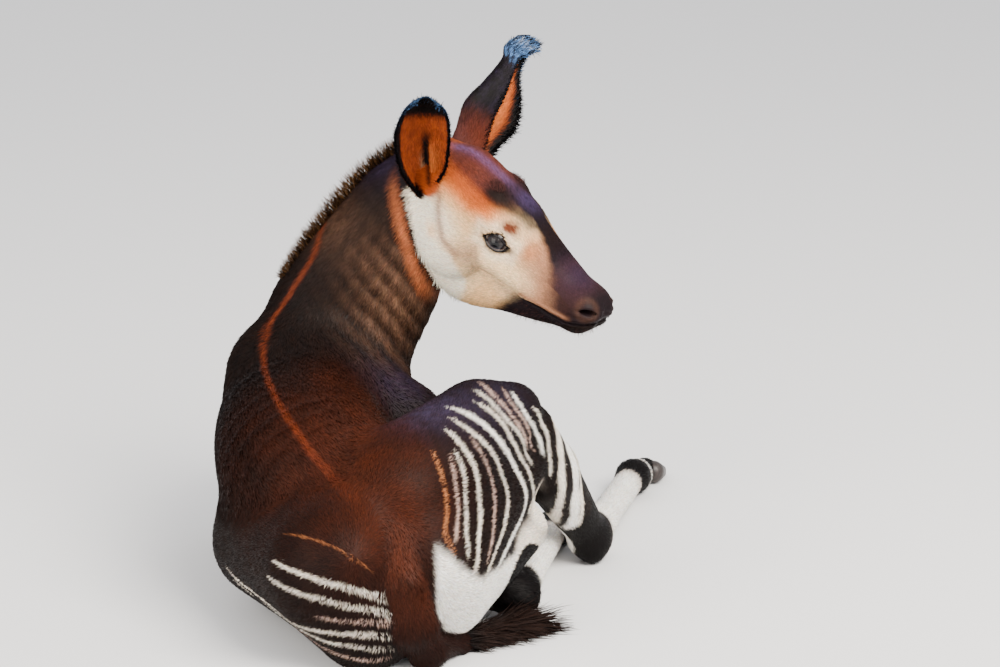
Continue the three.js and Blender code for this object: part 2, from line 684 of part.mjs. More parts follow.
// Thin leaf rolled into a cup that is open between its two rims
function ear(stations) {
  const rows = 11;
  const cols = 8;
  const points = [];
  const triangles = [];
  const [near, far, back] = [0, 1, 2].map((k) => new THREE.CatmullRomCurve3(stations.map((row) => row[k])));
  const at = (share, s) => {
    const t = clamp(share, 0, 1);
    const x = t * (stations.length - 1);
    const i = Math.min(stations.length - 2, Math.floor(x));
    const half = mix(stations[i][3], stations[i + 1][3], x - i);
    const reach = far.getPoint(t).sub(near.getPoint(t)).multiplyScalar(0.5);
    const middle = near.getPoint(t).add(reach);
    const deep = (Math.cos(s * half) - Math.cos(half)) / (1 - Math.cos(half));
    return middle.clone().addScaledVector(reach, Math.sin(s * half) / Math.sin(half))
      .addScaledVector(back.getPoint(t).sub(middle), deep);
  };
  const normal = (t, s) => at(t + 0.02, s).sub(at(t - 0.02, s))
    .cross(at(t, s + 0.02).sub(at(t, s - 0.02))).normalize();
  const opening = at(0.5, -1).add(at(0.5, 1)).multiplyScalar(0.5).sub(at(0.5, 0));
  const inward = Math.sign(normal(0.5, 0).dot(opening));
  for (const layer of [0, 1]) {
    for (let i = 0; i <= rows; i += 1) {
      for (let j = 0; j <= cols; j += 1) {
        const s = mix(-1, 1, j / cols);
        const q = at(i / rows, s).addScaledVector(normal(i / rows, s), inward * layer * EAR_THICK);
        points.push(q.x, q.y, q.z);
      }
    }
  }
  const id = (l, i, j) => l * (rows + 1) * (cols + 1) + i * (cols + 1) + j;
  const face = (a, b, c, d) => triangles.push(a, b, c, a, c, d);
  for (let i = 0; i < rows; i += 1) {
    for (let j = 0; j < cols; j += 1) {
      face(id(0, i, j), id(0, i, j + 1), id(0, i + 1, j + 1), id(0, i + 1, j));
      face(id(1, i, j), id(1, i + 1, j), id(1, i + 1, j + 1), id(1, i, j + 1));
    }
    face(id(0, i, 0), id(0, i + 1, 0), id(1, i + 1, 0), id(1, i, 0));
    face(id(0, i, cols), id(1, i, cols), id(1, i + 1, cols), id(0, i + 1, cols));
  }
  for (let j = 0; j < cols; j += 1) {
    face(id(0, 0, j), id(1, 0, j), id(1, 0, j + 1), id(0, 0, j + 1));
    face(id(0, rows, j), id(0, rows, j + 1), id(1, rows, j + 1), id(1, rows, j));
  }
  return { points, triangles: solid(points, triangles).volume() < 0 ? triangles.reverse() : triangles };
}

const boxAround = (points, r) => {
  const b = new THREE.Box3().setFromPoints(points).expandByScalar(r);
  return [b.min, b.max];
};

// A solid and the same a gap larger, which its neighbours are cut by
function pair(field, points, r, cell, share) {
  const [low, high] = boxAround(points, r);
  const skin = surface(field, low, high, cell, share);
  return [onFloor(solid(skin.points, skin.triangles)), grown(skin)];
}
function closed(field, low, high, cell, share) {
  const skin = surface(field, low, high, cell, share);
  return solid(skin.points, skin.triangles);
}

const nodes = {};
const paint = (name, body, slot) => { nodes[name] = { body, slot }; };

// Two claws of a foot, side by side, and their grown copies
function claws(coronet, toe, r) {
  const along = toe.clone().sub(coronet);
  const length = along.length();
  along.normalize();
  const side = along.clone().cross(V(0, 0, 1)).normalize();
  return [-1, 1].map((s) => {
    const from = coronet.clone().addScaledVector(side, 0.62 * r * s).addScaledVector(along, 0.25 * r);
    const to = coronet.clone().addScaledVector(side, 0.5 * r * s).addScaledVector(along, length);
    to.z = toe.z;
    const field = (p) => {
      const inner = 0.6 - s * (V(0, 0, 0).copy(p).sub(coronet)).dot(side);
      return Math.max(claw(p), inner);
    };
    const claw = cone(from, to, 0.82 * r, 0.4 * r, 0.9, side);
    return pair(field, [from, to], 1.3 * r, 5.5, 0.3);
  });
}

const grownOf = [];
function feet(name, coronet, toe, r) {
  claws(coronet, toe, r).forEach(([body, grown], i) => {
    paint(`${name}_claw_${i ? 'outer' : 'inner'}`, body, 'horn');
    grownOf.push({ name, grown });
  });
}
const less = (body, list) => largest(list.reduce((b, tool) => b.subtract(tool), body));

// Hind legs
const legs = {};
for (const [name, knee, hock, fetlock, coronet, toe, side] of [
  ['hind_right', KNEE_R, HOCK_R, FETLOCK_R, CORONET_R, TOE_R, V(0.7, -0.6, 0.4)],
  ['hind_left', KNEE_L, HOCK_L, FETLOCK_L, CORONET_L, TOE_L, V(0.1, -0.3, 0.95)],
]) {
  feet(name, coronet, toe, 17);
  const field = hindField(knee, hock, fetlock, coronet, side.normalize());
  const [body, grown] = pair(field, [knee, hock, fetlock, coronet], 60, CELL_LEG, 0.2);
  const shin = hock.clone().sub(knee).normalize();
  const cannon = fetlock.clone().sub(hock).normalize();
  const foot = coronet.clone().sub(fetlock).normalize();
  const pieces = parted(less(body, grownOf.filter((g) => g.name === name).map((g) => g.grown)), [
    plate(hock.clone().addScaledVector(shin, -6), shin.clone().add(cannon), 130),
    plate(fetlock.clone().addScaledVector(cannon, -4), cannon.clone().add(foot), 76),
  ], {
    gaskin: knee.clone().lerp(hock, 0.5),
    cannon: hock.clone().lerp(fetlock, 0.5),
    pastern: fetlock.clone().lerp(coronet, 0.5),
  });
  legs[name] = { pieces, grown };
}

// Forelegs
for (const [name, elbow, carpus, fetlock, coronet, toe] of [
  ['fore_right', ELBOW_R, CARPUS_R, FORE_FETLOCK_R, FORE_CORONET_R, FORE_TOE_R],
  ['fore_left', ELBOW_L, CARPUS_L, FORE_FETLOCK_L, FORE_CORONET_L, FORE_TOE_L],
]) {
  feet(name, coronet, toe, 15);
  const [lower, lowerGrown] = pair(foreCannonField(carpus, fetlock, coronet),
    [carpus, fetlock, coronet], 30, 9, 0.17);
  const [upper, upperGrown] = pair(forearmField(elbow, carpus), [elbow, carpus], 45, CELL_LEG, 0.16);
  const cannon = fetlock.clone().sub(carpus).normalize();
  const pieces = parted(less(lower, grownOf.filter((g) => g.name === name).map((g) => g.grown)), [
    plate(fetlock.clone().addScaledVector(cannon, -13), cannon, 60),
  ], {
    cannon: carpus.clone().lerp(fetlock, 0.5),
    pastern: fetlock.clone().lerp(coronet, 0.5),
  });
  pieces.forearm = less(upper, [lowerGrown, ...grownOf.filter((g) => g.name === name).map((g) => g.grown)]);
  legs[name] = { pieces, grown: lowerGrown.add(upperGrown) };
}
for (const [name, { pieces }] of Object.entries(legs)) {
  for (const [part, body] of Object.entries(pieces)) {
    paint(`${name}_${part}`, body, part === 'gaskin' || part === 'forearm' ? 'coat_striped' : 'coat_white');
  }
}

// Tail, bent along the floor
const tailField = join(10, TAIL.slice(1).map((s, i) => cone(TAIL[i].at, s.at, TAIL[i].r, s.r)));
const [tailBody, tailGrown] = pair(tailField, TAIL.map((s) => s.at), 40, CELL_TAIL, 0.21);

// Trunk and neck, then the parts they are cut into
const whole = onFloor(closed(bodyField, V(-345, -270, -40), V(90, 320, 372), CELL_TRUNK, 0.245));
const neckWhole = closed(bodyField, V(-330, 60, 200), V(40, 300, 520), CELL_NECK, 0.2);
const HALF = 600;
function beyond(at, normal, grow) {
  const n = normal.clone().normalize();
  return plate(at.clone().addScaledVector(n, HALF - grow), n, 3 * HALF, 2 * HALF);
}
const block = (low, high, grow) => solidOf(
  new THREE.BoxGeometry(high.x - low.x + 2 * grow, high.y - low.y + 2 * grow, high.z - low.z + 2 * grow),
  new THREE.Matrix4().setPosition(low.clone().add(high).multiplyScalar(0.5)));
const thighRegion = {
  right: (g) => beyond(V(-90, -95, 145), V(1, 0.05, 0.2), g)
    .intersect(block(V(-160, -320, -50), V(200, 82, 300), g)),
  left: (g) => beyond(V(-185, -80, 88), V(-0.5, -0.1, -0.86), g)
    .intersect(block(V(-420, -320, -50), V(-100, 62, 240), g)),
};
const NECK_CUT = V(-165, 178, 268);
const neckWay = NECK[2].at.clone().sub(NECK[1].at).normalize();
const LOIN_CUT = V(-172, -54, 135);
const loinWay = TRUNK[3].at.clone().sub(TRUNK[2].at).normalize();
const legTools = Object.values(legs).map((l) => l.grown).concat(grownOf.map((g) => g.grown), [tailGrown]);
const bare = less(whole, legTools);
const thighRight = largest(bare.intersect(thighRegion.right(0)));
const thighLeft = largest(bare.subtract(thighRegion.right(GAP)).intersect(thighRegion.left(0)));
const middle = largest(bare.subtract(thighRegion.right(GAP)).subtract(thighRegion.left(GAP))
  .subtract(beyond(NECK_CUT, neckWay, GAP)));
const torso = largest(middle.intersect(beyond(LOIN_CUT, loinWay, 0)));
const rump = largest(middle.subtract(beyond(LOIN_CUT, loinWay, GAP)));

// Head: eyes in sockets behind lids, mouth line, nostrils
const [headSkin, headGrown] = pair(headField(), [inHead(0, 0, 0), inHead(262, -30, 0), inHead(120, -60, 60),
  inHead(120, -60, -60), inHead(120, -125, 0)], 30, CELL_HEAD, 0.25);
const EYE_AT = (s) => inHead(135, -21, 36 * s);
const eyeOut = (s) => HEAD_R.clone().multiplyScalar(s).addScaledVector(HEAD_A, 0.28)
  .addScaledVector(HEAD_U, 0.12).normalize();
let headBody = headSkin;
for (const s of [-1, 1]) {
  const out = eyeOut(s);
  const long = HEAD_A.clone().addScaledVector(out, -HEAD_A.dot(out)).normalize();
  const high = out.clone().cross(long).normalize();
  const ball = (r) => solidOf(new THREE.SphereGeometry(r, 13, 9), placed(EYE_AT(s), long, high, out));
  const lids = solidOf(new THREE.SphereGeometry(HEAD_EYE_R + 3, 11, 7),
    placed(EYE_AT(s), long, high, out));
  const almond = new THREE.Shape();
  almond.moveTo(-14, 1);
  almond.quadraticCurveTo(-3, 13, 13, -3);
  almond.quadraticCurveTo(0, -9, -14, 1);
  const opening = solidOf(new THREE.ExtrudeGeometry(almond, { depth: 40, bevelEnabled: false, curveSegments: 8 }),
    placed(EYE_AT(s), long, high, out));
  headBody = headBody.add(lids).subtract(opening).subtract(ball(HEAD_EYE_R + GAP));
  paint(s > 0 ? 'eye_right' : 'eye_left', ball(HEAD_EYE_R), 'eye');
}
// The line of the mouth runs from the front of the lips back to the corner, through both sides
const MOUTH = [[284, -6], [273, -14], [262, -24], [248, -34], [231, -40], [214, -44], [195, -50]];
const lips = new THREE.Shape();
MOUTH.forEach(([a, u], i) => (i ? lips.lineTo(a, u + 0.9) : lips.moveTo(a, u + 0.9)));
[...MOUTH].reverse().forEach(([a, u]) => lips.lineTo(a, u - 0.9));
const inHeadMatrix = placed(inHead(0, 0, -60), HEAD_A, HEAD_U, HEAD_R);
headBody = headBody.subtract(solidOf(new THREE.ExtrudeGeometry(lips, { depth: 120, bevelEnabled: false }),
  inHeadMatrix));
for (const s of [-1, 1]) {
  const slit = HEAD_A.clone().multiplyScalar(0.93).addScaledVector(HEAD_U, 0.36).normalize();
  const deep = HEAD_R.clone().multiplyScalar(s).addScaledVector(HEAD_A, 0.5).normalize();
  deep.addScaledVector(slit, -deep.dot(slit)).normalize();
  const hole = new THREE.SphereGeometry(1, 12, 8).scale(11, 3.4, 8);
  headBody = headBody.subtract(solidOf(hole,
    placed(inHead(258, -8, 24 * s), slit, deep.clone().cross(slit), deep)));
}
paint('head', largest(headBody), 'coat_tan');

// Ears, set in the head
const earsGrown = [];
for (const [name, stations] of Object.entries(EARS)) {
  const leaf = ear(stations);
  paint(name, less(solid(leaf.points, leaf.triangles), [headGrown]), 'coat_rufous');
  earsGrown.push(grown(leaf));
}

// Neck with its mane
let neckBody = largest(neckWhole.intersect(beyond(NECK_CUT, neckWay, 0)));
const random = seeded(7);
const crest = new THREE.CatmullRomCurve3(NECK.slice(1).map((s) => s.at.clone()));
for (let i = 0; i < MANE_LOCKS; i += 1) {
  const t = 0.16 + (0.8 * i) / MANE_LOCKS;
  const x = t * (NECK.length - 2);
  const j = Math.floor(x);
  const up = NECK[j + 1].up.clone().lerp(NECK[Math.min(j + 2, NECK.length - 1)].up, x - j);
  const way = crest.getTangent(t);
  up.addScaledVector(way, -up.dot(way)).normalize();
  const side = way.clone().cross(up).normalize();
  const top = mix(NECK[j + 1].t, NECK[Math.min(j + 2, NECK.length - 1)].t, x - j);
  const q = crest.getPoint(t).addScaledVector(up, top - 2).addScaledVector(side, (random() - 0.5) * 9);
  for (let n = 0; n < 6; n += 1) q.addScaledVector(up, -bodyField(q));
  const lie = way.clone().multiplyScalar(0.35 + 0.3 * random()).addScaledVector(side, (random() - 0.5) * 0.5);
  const height = (23 + 8 * random()) * Math.min(1, 0.55 + 3 * Math.min(t - 0.16, 0.96 - t));
  neckBody = neckBody.add(lock(q, up, lie, height, 19, 7, 7));
}
paint('neck', less(neckBody, [headGrown, ...earsGrown]), 'coat_dark');

// Tail tuft
let tailTuft = tailBody;
const tuftRandom = seeded(11);
const tuftWay = V(0.94, 0.33, 0).normalize();
for (let i = 0; i < TUFT_LOCKS; i += 1) {
  const t = i / TUFT_LOCKS;
  const root = TAIL[4].at.clone().lerp(TAIL[6].at, 0.3 + 0.7 * t);
  const turn = i * 2.4;
  const side = V(-0.33, 0.94, 0).multiplyScalar(Math.cos(turn)).add(V(0, 0, Math.abs(Math.sin(turn))));
  const lie = side.clone().multiplyScalar(0.25 + 0.25 * tuftRandom());
  lie.z *= 0.5;
  root.addScaledVector(side, 4);
  tailTuft = tailTuft.add(lock(root, tuftWay, lie, 44 + 16 * tuftRandom(), 16, 7, 8));
}
paint('tail', onFloor(tailTuft), 'coat_dark');

paint('thigh_right', thighRight, 'coat_striped');
paint('thigh_left', thighLeft, 'coat_striped');
paint('torso', torso, 'coat_dark');
paint('rump', rump, 'coat_dark');

const COLOURS = {
  coat_dark: { color: 0x2a1712, roughness: 0.8, metalness: 0 },
  coat_striped: { color: 0x7d6a60, roughness: 0.85, metalness: 0 },
  coat_white: { color: 0xe6dccb, roughness: 0.85, metalness: 0 },
  coat_tan: { color: 0xb98f68, roughness: 0.85, metalness: 0 },
  coat_rufous: { color: 0x7a3a1c, roughness: 0.85, metalness: 0 },
  horn: { color: 0x1a1614, roughness: 0.45, metalness: 0 },
  eye: { color: 0x14161c, roughness: 0.08, metalness: 0 },
};
const group = new THREE.Group();
for (const [name, { body, slot }] of Object.entries(nodes)) {
  const mesh = body.getMesh();
  const geometry = new THREE.BufferGeometry();
  geometry.setAttribute('position', new THREE.BufferAttribute(new Float32Array(mesh.vertProperties), 3));
  geometry.setIndex(new THREE.BufferAttribute(new Uint32Array(mesh.triVerts), 1));
  geometry.computeVertexNormals();
  const m = new THREE.Mesh(geometry, new THREE.MeshStandardMaterial(COLOURS[slot]));
  m.name = name;
  group.add(m);
}
// The origin goes to the middle of the underside of the whole
const bounds = new THREE.Box3().setFromObject(group);
const middleXY = bounds.getCenter(V(0, 0, 0)).setZ(FLOOR);
group.children.forEach((m) => m.position.sub(middleXY));
export default group;
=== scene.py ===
import math

import bpy
import numpy as np
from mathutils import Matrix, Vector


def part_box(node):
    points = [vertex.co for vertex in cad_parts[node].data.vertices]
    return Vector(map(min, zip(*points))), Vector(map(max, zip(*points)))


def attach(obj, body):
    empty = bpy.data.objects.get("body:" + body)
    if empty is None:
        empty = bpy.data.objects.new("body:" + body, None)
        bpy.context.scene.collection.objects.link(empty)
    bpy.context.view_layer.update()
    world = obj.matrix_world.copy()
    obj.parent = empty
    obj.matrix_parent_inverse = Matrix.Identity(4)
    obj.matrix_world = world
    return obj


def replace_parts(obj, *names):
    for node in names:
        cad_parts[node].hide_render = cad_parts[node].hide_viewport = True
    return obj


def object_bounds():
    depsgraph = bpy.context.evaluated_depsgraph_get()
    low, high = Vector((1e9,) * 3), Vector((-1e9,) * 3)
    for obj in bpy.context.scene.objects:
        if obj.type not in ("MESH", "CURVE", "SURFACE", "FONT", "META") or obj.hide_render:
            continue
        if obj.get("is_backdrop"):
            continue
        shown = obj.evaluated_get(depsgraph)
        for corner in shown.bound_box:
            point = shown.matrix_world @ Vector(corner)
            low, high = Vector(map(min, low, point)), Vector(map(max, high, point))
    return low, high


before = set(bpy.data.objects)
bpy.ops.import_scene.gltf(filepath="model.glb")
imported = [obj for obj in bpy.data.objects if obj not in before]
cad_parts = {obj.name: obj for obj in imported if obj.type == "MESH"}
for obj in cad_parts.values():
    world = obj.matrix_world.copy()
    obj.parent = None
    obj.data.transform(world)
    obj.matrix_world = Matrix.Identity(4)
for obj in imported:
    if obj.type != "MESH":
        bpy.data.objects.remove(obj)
CAD_LOW, CAD_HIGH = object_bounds()
METRE = 0.001
FAR = 1e3


def V(*xyz):
    return np.array(xyz, float)


def unit(v):
    return v / np.maximum(np.linalg.norm(v, axis=-1, keepdims=True), 1e-9)


def dot(a, b):
    return (a * b).sum(-1)


def mix(a, b, t):
    return a + (b - a) * t


def ramp(x, low, high):
    """0 below low, 1 above high, smooth between; low may be the larger one."""
    t = np.clip((x - low) / (high - low), 0, 1)
    return t * t * (3 - 2 * t)


def bell(x, middle, width):
    """1 at the middle, fading to nothing some two widths away."""
    return np.exp(-((x - middle) / width) ** 2)


def away(p, place):
    """How far each point is from a place."""
    return np.linalg.norm(p - place, axis=-1)


def away_from_nearest(p, places):
    """How far each point is from the nearest of the places."""
    return np.minimum.reduce([away(p, place) for place in places])


# Landmarks of the skeleton, as in the solids. Stations of the trunk and the neck: centre, up, half width,
# height above, depth below. The tail's: centre, radius
TRUNK = [
    ((-98, -158, 98), (-0.38, -0.3, 0.88), 50, 42, 48),
    ((-122, -122, 116), (-0.38, -0.28, 0.88), 74, 60, 66),
    ((-158, -78, 130), (-0.38, -0.2, 0.9), 84, 78, 84),
    ((-188, -30, 140), (-0.38, -0.1, 0.92), 96, 98, 106),
    ((-201, 45, 142), (-0.36, -0.03, 0.93), 99, 115, 142),
    ((-198, 112, 142), (-0.36, 0, 0.93), 99, 122, 154),
    ((-190, 170, 146), (-0.36, 0, 0.93), 95, 112, 132),
    ((-186, 222, 140), (-0.36, 0, 0.93), 66, 74, 100),
]
NECK = [
    ((-196, 150, 196), (-0.8, -0.2, 0.57), 62, 86, 80),
    ((-168, 178, 262), (-0.84, -0.12, 0.52), 52, 89, 82),
    ((-130, 190, 330), (-0.84, 0, 0.54), 45, 77, 75),
    ((-98, 194, 388), (-0.8, 0.08, 0.58), 40, 62, 56),
    ((-66, 190, 432), (-0.6, 0.1, 0.78), 38, 46, 50),
]
HIP_R, HIP_L = V(-98, -102, 149), V(-168, -160, 101)
SEAT_R, SEAT_L = V(-62, -148, 96), V(-134, -168, 49)
KNEE_R, KNEE_L = V(12, 20, 206), V(-230, 0, 55)
HOCK_R, HOCK_L = V(99, 134, 29), V(16, -47, 29)
FETLOCK_R, FETLOCK_L = V(157, 371, 20), V(60, 188, 19)
CORONET_R, CORONET_L = V(172, 408, 15), V(84, 236, 15)
TOE_R, TOE_L = V(186, 440, 5), V(104, 268, 5)
SHOULDER_R, SHOULDER_L = V(-122, 196, 128), V(-262, 196, 112)
ELBOW_R, ELBOW_L = V(-118, 128, 74), V(-268, 128, 66)
CARPUS_R, CARPUS_L = V(-100, 325, 20), V(-262, 334, 20)
FORE_FETLOCK_R, FORE_FETLOCK_L = V(-122, 152, 15), V(-252, 160, 15)
FORE_CORONET_R, FORE_CORONET_L = V(-126, 100, 14), V(-248, 108, 14)
FORE_TOE_R, FORE_TOE_L = V(-128, 68, 5), V(-246, 76, 5)
TAIL = [
    ((-104, -162, 128), 27), ((-97, -192, 92), 26), ((-88, -194, 54), 24), ((-74, -180, 18), 19),
    ((-44, -142, 12), 13.5), ((-4, -98, 9), 10), ((22, -84, 7), 7),
]

# The head's own frame: a from the poll to the nose, u up out of the forehead, r to its right. Its places
# are (a, u, r) on the right side, and a side is -1 for the left or 1 for the right
POLL = V(-65, 190, 471)
HEAD_A = unit(V(0.675, -0.375, -0.639))
HEAD_R = unit(np.cross(HEAD_A, V(0.582, -0.264, 0.771)))
HEAD_U = np.cross(HEAD_R, HEAD_A)
EYE_R = 14.5
EYE_PLACE = (135, -21, 36)
NOSTRIL = (258, -8, 24)
BUMP = (96, 15, 25)
SIDES = {-1: "left", 1: "right"}


def in_head(a, u, r):
    return POLL + a * HEAD_A + u * HEAD_U + r * HEAD_R


def head_coords(p):
    q = p - POLL
    return dot(q, HEAD_A), dot(q, HEAD_U), dot(q, HEAD_R)


def on_side(place, s):
    """A place of the head on the side s."""
    return in_head(place[0], place[1], place[2] * s)


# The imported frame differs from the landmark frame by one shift, read from the right eye
low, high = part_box("eye_right")
SHIFT = np.array((low + high) / 2) / METRE - in_head(*EYE_PLACE)
SHIFT[2] = 0


def to_world(p):
    return (p + SHIFT) * METRE


# Distance fields: negative inside; each also gives a place along and round its own axis, the lie of the
# hair, and how wide and long it is when laid out flat
PAST_END = 0.4
OFF_AXIS = V(0.3, 0.2, 1)
CHUNK = 60000
END_ROUND = 0.75
DEEPEST = 0.9


class Cone:
    """A limb piece with round ends, pressed to the share flat along side."""

    def __init__(self, a, b, ra, rb, flat=1.0, side=(0, 0, 1), lie=1):
        self.a, self.b, self.ra, self.rb = np.array(a, float), np.array(b, float), ra, rb
        self.flat, self.side, self.lie = flat, unit(np.array(side, float)), lie
        self.ba = self.squash(self.b - self.a)
        self.l2 = self.ba @ self.ba
        self.way = unit(self.b - self.a)
        self.long = np.linalg.norm(self.b - self.a)
        self.laid_out = (math.tau * (ra + rb) / 2, self.long * (1 + 2 * PAST_END) + 10)

    def squash(self, v):
        if self.flat == 1.0:
            return v
        return v + np.multiply.outer(v @ self.side, self.side) * (1 / self.flat - 1)

    def distance(self, p):
        pa = self.squash(p - self.a)
        y = pa @ self.ba
        z = y - self.l2
        rr = self.ra - self.rb
        a2 = self.l2 - rr * rr
        x2 = ((pa * self.l2 - y[..., None] * self.ba) ** 2).sum(-1)
        y2, z2 = y * y * self.l2, z * z * self.l2
        k = np.sign(rr) * rr * rr * x2
        body = (np.sqrt(np.maximum(x2 * a2 / self.l2, 0)) + y * rr) / self.l2 - self.ra
        far = np.sqrt(x2 + z2) / self.l2 - self.rb
        near = np.sqrt(x2 + y2) / self.l2 - self.ra
        return np.where(np.sign(z) * a2 * z2 > k, far, np.where(np.sign(y) * a2 * y2 < k, near, body))

    def place(self, p):
        pa, whole = p - self.a, 1 + 2 * PAST_END
        t = np.clip(pa @ self.way / self.long, -PAST_END, 1 + PAST_END) / whole + PAST_END / whole
        x = unit(np.cross(self.way, OFF_AXIS))
        y = np.cross(self.way, x)
        return t, np.arctan2(pa @ x, pa @ y) / math.tau + 0.5

    def flow(self, p):
        return np.broadcast_to(self.lie * self.way, p.shape)


class Egg:
    """An ellipsoid in the head's own axes."""

    def __init__(self, c, ra, ru, rr):
        self.c, self.r = in_head(*c), (ra, ru, rr)
        self.laid_out = (math.tau * np.mean(self.r), 3 * np.mean(self.r))

    def distance(self, p):
        q = p - self.c
        x = np.stack([q @ HEAD_A / self.r[0], q @ HEAD_U / self.r[1], q @ HEAD_R / self.r[2]], -1)
        k0 = np.linalg.norm(x, axis=-1)
        k1 = np.linalg.norm(x / np.array(self.r), axis=-1)
        return np.where(k1 < 1e-9, -min(self.r), k0 * (k0 - 1) / np.maximum(k1, 1e-9))

    def place(self, p):
        q = p - self.c
        x, y, z = q @ HEAD_A, q @ HEAD_U, q @ HEAD_R
        t = np.arccos(np.clip(x / np.maximum(np.linalg.norm(q, axis=-1), 1e-6), -1, 1)) / math.pi
        return t, np.arctan2(y, z) / math.tau + 0.5

    def flow(self, p):
        return np.broadcast_to(-HEAD_A, p.shape)


def in_chunks(work, p):
    """What the work gives for the points, some at a time to spare memory."""
    return np.concatenate([work(p[i:i + CHUNK]) for i in range(0, max(len(p), 1), CHUNK)])


class Sweep:
    """A body swept along stations, with a rounded square section. Its hair lies back along it."""

    def __init__(self, stations, frames=32, power=2.2):
        n = len(stations)
        self.power, self.frames = power, frames
        at = np.array([s[0] for s in stations], float)
        up = np.array([s[1] for s in stations], float)
        size = np.array([s[2:] for s in stations], float)
        x = np.linspace(0, n - 1, frames + 1)
        j = np.minimum(x.astype(int), n - 2)
        f = (x - j)[:, None]
        size = np.concatenate([size[:1], size, size[-1:]])
        a, b, d, e = size[j], size[j + 1], size[j + 2], size[j + 3]
        self.size = b + 0.5 * f * (d - a + f * (2 * a - 5 * b + 4 * d - e + f * (3 * (b - d) + e - a)))
        self.up = mix(up[j], up[j + 1], f)
        self.c = centripetal(at, frames)
        self.d = self.c[1:] - self.c[:-1]
        self.l2 = (self.d * self.d).sum(-1)
        ends = np.concatenate([self.c[:1], self.c, self.c[-1:]])
        self.tangent = unit(ends[2:] - ends[:-2])
        self.laid_out = (math.tau * self.size.mean(), np.sqrt(self.l2).sum() + 60)

    def locate(self, p):
        """The nearest piece of the line, the share along it, the way there, and the place across, up, on."""
        q = p[:, None, :] - self.c[None, :-1]
        t = np.clip((q * self.d).sum(-1) / self.l2, 0, 1)
        r2 = ((q - t[..., None] * self.d) ** 2).sum(-1)
        i = r2.argmin(1)
        t = t[np.arange(len(p)), i]
        f = t[:, None]
        way = unit(mix(self.tangent[i], self.tangent[i + 1], f))
        up = mix(self.up[i], self.up[i + 1], f)
        up = unit(up - dot(up, way)[:, None] * way)
        side = np.cross(way, up)
        v = p - self.c[i] - f * self.d[i]
        return i, t, way, dot(v, side), dot(v, up), dot(v, way)

    def distance(self, p):
        def one(q):
            i, t, _, x, y, z = self.locate(q)
            size = mix(self.size[i], self.size[i + 1], t[:, None])
            w, h = size[:, 0], np.where(y > 0, size[:, 1], size[:, 2])
            k0 = ((np.abs(x) / w) ** self.power + (np.abs(y) / h) ** self.power
                  + (np.abs(z) / (END_ROUND * w)) ** self.power) ** (1 / self.power)
            far = np.sqrt(x * x + y * y + z * z)
            return np.maximum(-DEEPEST * w, far * (1 - 1 / np.maximum(k0, 1e-6)))

        return in_chunks(one, p)

    def place(self, p):
        def one(q):
            i, t, _, x, y, _ = self.locate(q)
            return np.stack([(i + t) / self.frames, np.arctan2(x, y) / math.tau + 0.5], -1)

        return in_chunks(one, p).T

    def flow(self, p):
        return in_chunks(lambda q: -self.locate(q)[2], p)


def centripetal(points, steps):
    """A smooth curve through the points, even in the share between them."""
    n = len(points)
    out = []
    for m in range(steps + 1):
        x = m / steps * (n - 1)
        i = min(int(x), n - 2)
        f = x - i
        p1, p2 = points[i], points[i + 1]
        p0 = points[i - 1] if i > 0 else 2 * p1 - p2
        p3 = points[i + 2] if i < n - 2 else 2 * p2 - p1
        d0, d1, d2 = (max(np.linalg.norm(b - a) ** 0.5, 1e-4) for a, b in ((p0, p1), (p1, p2), (p2, p3)))
        m1 = ((p1 - p0) / d0 - (p2 - p0) / (d0 + d1) + (p2 - p1) / d1) * d1
        m2 = ((p2 - p1) / d1 - (p3 - p1) / (d1 + d2) + (p3 - p2) / d2) * d1
        out.append(p1 + f * (m1 + f * ((-3 * p1 + 3 * p2 - 2 * m1 - m2) + f * (2 * p1 - 2 * p2 + m1 + m2))))
    return np.array(out)


def smin(a, b, k):
    """The smaller one, rounded off over the width k where they are close."""
    h = np.maximum(k - np.abs(a - b), 0) / k
    return np.minimum(a, b) - h * h * k * 0.25


def smax(a, b, k):
    return -smin(-a, -b, k)


# The shapes of the animal, by group: each group is joined smoothly, then the groups are joined
def hind_leg(knee, hock, fetlock, coronet, side):
    down = lambda t: mix(knee, hock, t)
    on = lambda t: mix(hock, fetlock, t)
    fold = unit(unit(hock - knee) - unit(fetlock - hock))
    return [
        Cone(down(0.16), down(0.45), 35, 33, 0.9, side),
        Cone(down(0.45), down(0.98), 34, 23, 0.85, side),
        Cone(hock, hock + 17 * fold, 23, 14, 0.8, side),
        Cone(hock, on(0.25), 24, 18, 0.9, side),
        Cone(on(0.2), on(0.95), 18, 17),
        Cone(fetlock, mix(fetlock, coronet, 0.25), 20, 18),
        Cone(fetlock, coronet, 16, 16.5),
    ]


def fore_leg(elbow, carpus, fetlock, coronet):
    mid = mix(elbow, carpus, 0.4)
    on = lambda t: mix(carpus, fetlock, t)
    upper = [Cone(elbow, mid, 32, 26), Cone(mid, carpus, 26, 21)]
    lower = [
        Cone(on(0.08), on(0.25), 15, 13.5),
        Cone(on(0.25), fetlock, 13.5, 13.5),
        Cone(fetlock, mix(fetlock, coronet, 0.25), 17, 15),
        Cone(fetlock, coronet, 14, 14.5),
    ]
    return upper, lower


